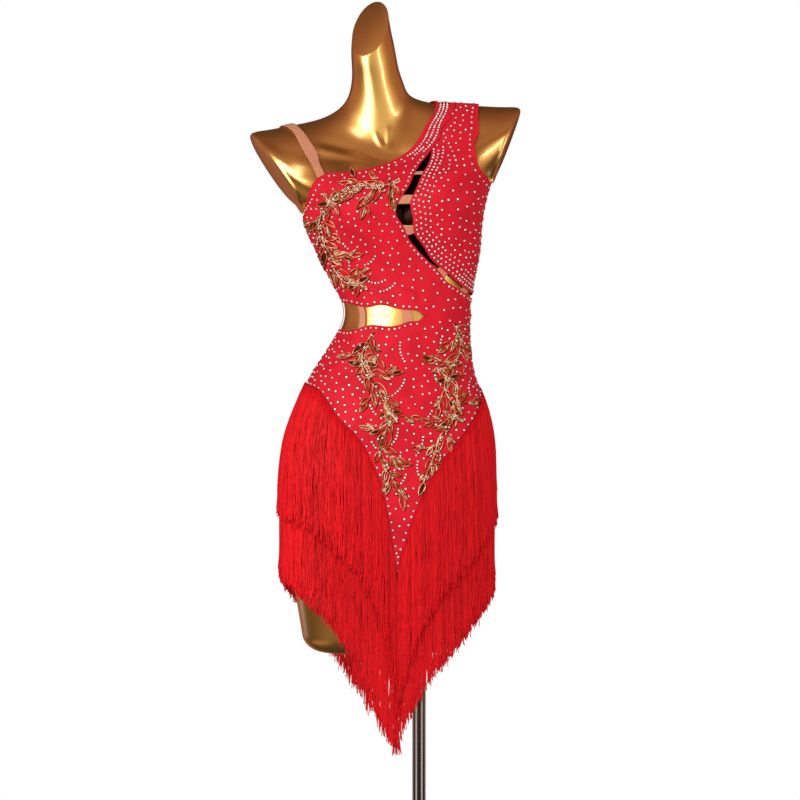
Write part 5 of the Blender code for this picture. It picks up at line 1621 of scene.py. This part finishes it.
# ---- the stones
# Close rows of stones: the line of places, how far from it, and from which part of it to which, from 0 to 1.
StoneRow = namedtuple("StoneRow", "line off start end pitch")
STONE_ROWS = [StoneRow(*row) for row in (
    (NECKLINE, -7.5, 0.0, 0.5, 5.2), (NECKLINE, -12.8, 0.005, 0.47, 5.2), (NECKLINE, -18.2, 0.0, 0.42, 5.3),
    (NECKLINE, -8.5, 0.53, 0.97, 13.0), (NECKLINE, -17, 0.5, 0.95, 15.0), (SLIT_FAR, -5.0, 0.0, 0.34, 7.6),
    (SLIT_FAR, -12.2, 0.02, 0.3, 8.2), (SLIT_FAR, -19.9, 0.0, 0.26, 8.6), (SLIT_FAR, -5.6, 0.35, 0.78, 8.0),
    (SLIT_FAR, -12.8, 0.32, 0.78, 8.8), (SLIT_FAR, -20.2, 0.28, 0.8, 9.2), (SLIT_FAR, -27.8, 0.26, 0.8, 10.0),
    (SLIT_FAR, -5.5, 0.79, 0.98, 6.4), (SLIT_FAR, -11.4, 0.79, 0.97, 6.8), (SLIT_FAR, -17.6, 0.81, 0.95, 7.4),
    (SLIT_FAR, -24.6, 0.81, 0.92, 8.0), (SLIT_NEAR, 4.5, 0.05, 0.97, 9.0), (UNDERARM, -9, 0.02, 0.95, 9.0),
    (ARMHOLE, 9, 0.05, 0.97, 12.0), (CUT_TOP, -5, 0.03, 0.93, 11.0), (CUT_FOOT, 5, 0.03, 0.93, 9.0),
    (V_RIGHT, -5.5, 0.02, 0.99, 12.5), (V_LEFT, -5.5, 0.01, 0.98, 12.5), (BACK_V_LEFT, -5.5, 0.02, 0.98, 14.0),
    (BACK_V_RIGHT, -5.5, 0.02, 0.98, 14.0), (BACK_EDGE, 5.5, 0.02, 0.97, 9.5), (BACK_ARMHOLE, -8, 0.05, 0.97, 13.0),
    (BACK_CUT_TOP, -6, 0.2, 0.95, 11.0), (BACK_CUT_FOOT, 6, 0.2, 0.95, 11.0),
)]
# The least spacing of stones in rows and runs, and of stones in a run; how far loose ones keep from an edge; and how
# high the dark ring round a stone's foot is.
STONE_SPACING, RUN_PITCH, EDGE_CLEAR, RIM_HEIGHT = 4.0, 5.2, 6, 0.35
# Short curved runs in front view: start x and z, heading, how many stones, and the turn at each stone.
StoneRun = namedtuple("StoneRun", "x z heading stones turn")
STONE_RUNS = [StoneRun(*row) for row in (
    (-60, 1288, 205, 6, 9), (-98, 1286, 190, 7, -8), (-120, 1262, 250, 6, 8), (-132, 1232, 262, 7, -7),
    (-120, 1206, 300, 6, 8), (-110, 1178, 285, 7, -9), (-84, 1168, 20, 5, 14), (-78, 1142, 340, 6, 12),
    (-60, 1126, 10, 6, 10), (-96, 1040, 255, 6, 10), (-98, 1002, 285, 6, 9), (-44, 1010, 250, 6, -10),
    (-30, 1046, 262, 7, 8), (-24, 988, 250, 7, -7), (-76, 948, 290, 6, 10), (-34, 912, 265, 6, -9),
    (-74, 892, 300, 6, 9), (-30, 876, 262, 6, 8), (-22, 842, 250, 5, -8), (34, 1056, 250, 6, 9),
    (78, 1044, 262, 6, -8), (22, 1000, 275, 7, 8), (78, 990, 250, 6, 9), (20, 950, 262, 6, -9), (46, 900, 255, 6, 8),
    (4, 900, 268, 7, -7), (-4, 862, 262, 6, 8),
)]


def stone_frames(places):
    """Where stones stand on the cloth: centre, and side, over and out ways, each stone turned its own way."""
    angle, level, lift = places.T
    rng = np.random.default_rng(11)
    out = unit(outward(angle, level) + rng.normal(0, 0.09, (len(places), 3)))
    side = unit(np.cross((0, 0, 1.0), out))
    over = np.cross(out, side)
    spin = rng.uniform(0, math.tau, (len(places), 1))
    cos, sin = np.cos(spin), np.sin(spin)
    return skin(angle, level, lift), cos * side + sin * over, cos * over - sin * side, out


def stones(name, frames, size, height, foot, table):
    """Eight-sided stones on their frames, with the radii of foot and table as shares of their size."""
    middle, side, over, out = frames
    verts, faces = primitive(
        bmesh.ops.create_cone, cap_ends=True, segments=8, radius1=foot, radius2=table, depth=1.0
    )
    flat = size * (verts[None, :, :1] * side[:, None] + verts[None, :, 1:2] * over[:, None])
    up = (verts[:, 2] + 0.5)[None, :, None] * height
    return joined(name, faces, middle[:, None] + flat + up * out[:, None])


class Scatter:
    """Places for stones on the cloth, none nearer another or a kept-off point than its spacing."""

    def __init__(self, kept_off):
        self.places, self.points = [], np.empty((0, 3))
        self.kept_off = kept_off

    def add(self, places, spacing, clear=3.0, lift=0.1):
        spacing = np.broadcast_to(spacing, len(places))
        points = body(*places.T)
        near = nearness(points, self.kept_off)
        for place, point, off, gap in zip(places, points, near, spacing):
            if off < clear:
                continue
            if len(self.points) and np.sqrt(((self.points - point) ** 2).sum(1).min()) < gap:
                continue
            self.places.append((*place, lift))
            self.points = np.vstack([self.points, point])


def loose_places(panel, settings, rng):
    """Places all over a panel for loose stones, in a random order, and the spacing that each is to have."""
    inner = panel.places[2:-2, 2:-2].reshape(-1, 2)
    inner = inner + rng.normal(0, 0.5, inner.shape)
    off = nearness(body(*inner.T), np.concatenate([on_body(line) for line in panel.free]))
    inner = inner[off > EDGE_CLEAR]
    angle, level = inner.T
    spacing = np.full(len(inner), (settings.back if "back" in panel.name else settings.front) / MM)
    if panel.name == "bodice_left":
        # Close at the slit, at its foot and at the shoulder.
        across = nearness(body(angle, level), on_body(SLIT_FAR))
        low, high = np.clip((1225 - level) / 70, 0, 1), np.clip((level - 1395) / 40, 0, 1)
        spacing = 8.0 + 5.0 * ease((across - 24) / 40) * (1 - 0.85 * low) * (1 - 0.7 * high)
    if panel.name == "hip_front":
        spacing = spacing - 2.2 * ease((np.abs(angle) - 45) / 40)
    if panel.name == "bodice_front":
        spacing = spacing + 1.5 * ease((angle + 20) / 40)
    order = rng.permutation(len(inner))
    return inner[order], (spacing * rng.uniform(0.88, 1.15, len(inner)))[order]


class DRESS_OT_stones(Operator):
    """Foiled crystals: close rows at the edges, curved runs beside the sprays and loose ones between"""

    bl_idname = "dress.stones"
    bl_label = "Stones"

    def execute(self, context):
        settings = context.scene.dress_stones
        rng = np.random.default_rng(7)
        stems, branches, curls, leaves, petals, beads, tips = spray_parts()
        u, v = (grid.ravel() for grid in np.meshgrid(np.linspace(0, 1, 7), np.linspace(-1, 1, 5)))
        flat = np.concatenate([*(form(u, v) for form in leaves + petals), *stems, *branches, *curls, beads])
        scatter = Scatter(body(*place_at(*flat.T)))
        scatter.add(np.stack(place_at(*tips.T), axis=1), STONE_SPACING, clear=-1, lift=1.5)
        for row in STONE_ROWS:
            line = beside(smooth(row.line, 260), row.off)
            run = lengths(line)
            stops = np.arange(row.start * run[-1], row.end * run[-1], row.pitch)
            stops = stops + rng.normal(0, 0.09 * row.pitch, len(stops))
            scatter.add(at_lengths(run, line, stops), STONE_SPACING, clear=2.6)
        for stone_run in STONE_RUNS:
            heading = np.radians(stone_run.heading + stone_run.turn * np.arange(stone_run.stones))
            flat = walk((stone_run.x, stone_run.z), heading, RUN_PITCH)
            scatter.add(np.stack(place_at(*flat.T), axis=1), STONE_SPACING)
        for panel in panel_places(4, 6):
            scatter.add(*loose_places(panel, settings, rng), clear=3.6)
        places = np.array(scatter.places)
        frames = stone_frames(places)
        size = settings.radius / MM * rng.uniform(0.88, 1.08, (len(places), 1, 1))
        piece(stones("crystals", frames, size, settings.height / MM, 1.0, 0.52), "foiled_crystal")
        piece(stones("foil_rims", frames, size, RIM_HEIGHT, 1.32, 1.05), "stone_foot_ring")
        return {"FINISHED"}


# ---- an empty step for the cloth cuts
class DRESS_OT_cuts(Operator):
    """Does nothing: it names no piece as cloth and gives no cut size"""

    bl_idname = "dress.cuts"
    bl_label = "Cloth Cuts"

    def execute(self, context):
        return {"FINISHED"}


# ---- stage
# The softboxes: where each stands, the height it faces on the dress's middle line, its width and height, colour,
# power in watts or the setting that has it, and whether gloss shows it and cloth is lit by it.
Softbox = namedtuple("Softbox", "name place aim wide tall power colour in_gloss on_cloth")
SOFTBOXES = [Softbox(*row) for row in (
    ("front_softbox", (-2.0, -2.7, 1.8), 1.3, 2.5, 2.1, "key", "#fffaf2", True, True),
    ("strip_light", (2.65, -2.1, 1.75), 1.3, 0.22, 2.8, 18.0, "#fffaf4", True, True),
    ("side_softbox", (2.7, -0.55, 1.5), 1.15, 1.0, 2.5, "side", "#fffaf4", False, True),
    ("back_softbox", (0.9, 3.4, 1.9), 1.0, 1.6, 2.2, "back", "#fff6ee", False, True),
    ("high_window", (0.2, -3.4, 2.0), 1.5, 2.8, 1.8, 17.0, "#fff4dc", False, True),
    ("upper_panel", (-1.4, -2.05, 2.95), 1.35, 0.85, 1.6, 16.0, "#fffaf2", True, False),
    ("front_fill", (-1.3, -3.5, 1.4), 1.0, 2.0, 2.4, "fill", "#ffffff", False, True),
)]
MIDDLE_X, CAMERA_PLACE, FLOOR_RADIUS, FLOOR_GAP = -0.03, (-0.0304, 0.957), 1.5, 0.0002
# What gloss sees of the room, patch over patch: its colour, its share, and for each limit the direction (its depth,
# height or reach to either side) where the patch starts and where it is full.
PATCHES = [
    ("#140805", 0.8, ("Y", -0.12, 0.35), ("Z", 0.5, 0.85)),
    ("#140805", 0.85, ("Y", 0.55, 0.95), ("Z", -0.1, 0.1)),
    ("#d09a70", 0.6, ("Y", 0.0, -0.25), ("Z", 0.84, 0.92)),
    # A pale window in front, which gives the neck its gold.
    ("#fff0bc", 1.0, ("Z", -0.1, -0.02), ("Z", 0.64, 0.48), ("Y", -0.1, -0.4)),
    ("#e0a070", 0.4, ("Z", -0.17, -0.07), ("Z", 0.55, 0.3), ("X", 0.6, 0.8)),
    ("#c07450", 0.8, ("Y", 0.7, 0.9), ("Z", 0.02, -0.1)),
    ("#d8a068", 0.7, ("Z", -0.38, -0.48), ("X", 0.6, 0.75)),
    # Low pale paper at both sides, which gives the pole its two lines.
    ("#f4ece4", 0.75, ("Z", -0.12, -0.14), ("Z", -0.24, -0.2), ("X", 0.48, 0.6), ("X", 0.92, 0.8)),
]


def add_softbox(box, settings):
    """An area light turned to its aim. Its power is a number of watts or one of the settings."""
    light = bpy.data.lights.new(box.name, "AREA")
    light.shape, light.size, light.size_y = "RECTANGLE", box.wide, box.tall
    light.energy = getattr(settings, box.power) if isinstance(box.power, str) else box.power
    light.color = srgb(box.colour)[:3]
    obj = placed(box.name, light)
    obj.location = box.place
    obj.rotation_euler = (Vector((MIDDLE_X, 0, box.aim)) - obj.location).to_track_quat("-Z", "Y").to_euler()
    obj.visible_glossy, obj.visible_diffuse = box.in_gloss, box.on_cloth


def studio_world():
    """White to the camera, pale to the cloth, and to gloss a brown room with the patches."""
    world = bpy.data.worlds.new("studio")
    world.use_nodes = True
    tree = world.node_tree
    tree.nodes.clear()
    path = add_node(tree, "LightPath").outputs
    where = add_node(tree, "TexCoord").outputs["Generated"]
    ways = dict(add_node(tree, "SeparateXYZ", {"Vector": where}).outputs.items())
    ways["X"] = add_node(tree, "Math", {0: ways["X"]}, operation="ABSOLUTE").outputs[0]

    def ramp(way, start, end):
        limits = {"Value": ways[way], "From Min": start, "From Max": end}
        return add_node(tree, "MapRange", limits).outputs[0]

    def tinted(amount, under, over):
        return add_node(tree, "Mix", {0: amount, 6: under, 7: srgb(over)}, data_type="RGBA").outputs[2]

    tint = tinted(ramp("Z", -0.12, 0.04), srgb("#2c1a17"), "#934a42")
    for colour, share, *limits in PATCHES:
        amount = ramp(*limits[0])
        for other in (*(ramp(*limit) for limit in limits[1:]), share):
            amount = add_node(tree, "Math", {0: amount, 1: other}, operation="MULTIPLY").outputs[0]
        tint = tinted(amount, tint, colour)
    pale, room, dusk = (
        add_node(tree, "Background", {"Color": colour, "Strength": strength}).outputs[0]
        for colour, strength in ((srgb("#ffffff"), 1.0), (srgb("#f4efe9"), 0.4), (tint, 0.9))
    )
    soft = add_node(tree, "MixShader", {0: path["Is Diffuse Ray"], 1: dusk, 2: room}).outputs[0]
    mixed = add_node(tree, "MixShader", {0: path["Is Camera Ray"], 1: soft, 2: pale}).outputs[0]
    add_node(tree, "OutputWorld", {"Surface": mixed})
    return world


class DRESS_OT_stage(Operator):
    """Camera, softboxes, pale surroundings and a small pale floor"""

    bl_idname = "dress.stage"
    bl_label = "Stage"

    def execute(self, context):
        scene = context.scene
        settings = scene.dress_stage
        data = bpy.data.cameras.new("camera")
        data.lens, data.sensor_width, data.sensor_fit = settings.lens, 36, "HORIZONTAL"
        camera = placed("camera", data)
        camera.location = (CAMERA_PLACE[0], -settings.distance, CAMERA_PLACE[1])
        camera.rotation_euler = (math.radians(90), 0, 0)
        scene.camera = camera
        for box in SOFTBOXES:
            add_softbox(box, settings)
        scene.world = studio_world()
        scene.view_settings.view_transform = "Standard"
        bm = bmesh.new()
        bmesh.ops.create_circle(bm, cap_ends=True, segments=96, radius=FLOOR_RADIUS)
        bmesh.ops.translate(bm, verts=bm.verts, vec=(0, 0, -FLOOR_GAP))
        mesh = mesh_from(bm, "floor")
        mesh.materials.append(finish("studio_paper"))
        floor = placed("floor", mesh)
        floor.visible_glossy = False
        return {"FINISHED"}


class DRESS_PT_panel(bpy.types.Panel):
    bl_label = "Dress"
    bl_idname = "DRESS_PT_panel"
    bl_space_type = "VIEW_3D"
    bl_region_type = "UI"
    bl_category = "Dress"

    def draw(self, context):
        for operator in OPERATORS:
            self.layout.operator(operator.bl_idname)


GROUPS = {
    "dress_colours": DressColours, "dress_form": DressForm, "dress_cloth": DressCloth, "dress_fringe": DressFringe,
    "dress_stones": DressStones, "dress_stage": DressStage,
}
OPERATORS = (
    DRESS_OT_stage, DRESS_OT_form, DRESS_OT_stand, DRESS_OT_panels, DRESS_OT_underskirt, DRESS_OT_elastics,
    DRESS_OT_fringe, DRESS_OT_sprays, DRESS_OT_stones, DRESS_OT_cuts,
)


def register():
    for group in GROUPS.values():
        bpy.utils.register_class(group)
    for name, group in GROUPS.items():
        setattr(bpy.types.Scene, name, PointerProperty(type=group))
    for each in (*OPERATORS, DRESS_PT_panel):
        bpy.utils.register_class(each)


def unregister():
    for each in reversed((*OPERATORS, DRESS_PT_panel)):
        bpy.utils.unregister_class(each)
    for name in GROUPS:
        delattr(bpy.types.Scene, name)
    for group in reversed(list(GROUPS.values())):
        bpy.utils.unregister_class(group)


def main():
    register()
    bpy.ops.dress.stage()
    bpy.ops.dress.form()
    bpy.ops.dress.stand()
    bpy.ops.dress.panels()
    bpy.ops.dress.underskirt()
    bpy.ops.dress.elastics()
    bpy.ops.dress.fringe()
    bpy.ops.dress.sprays()
    bpy.ops.dress.stones()
    bpy.ops.dress.cuts()


if __name__ == "__main__":
    main()
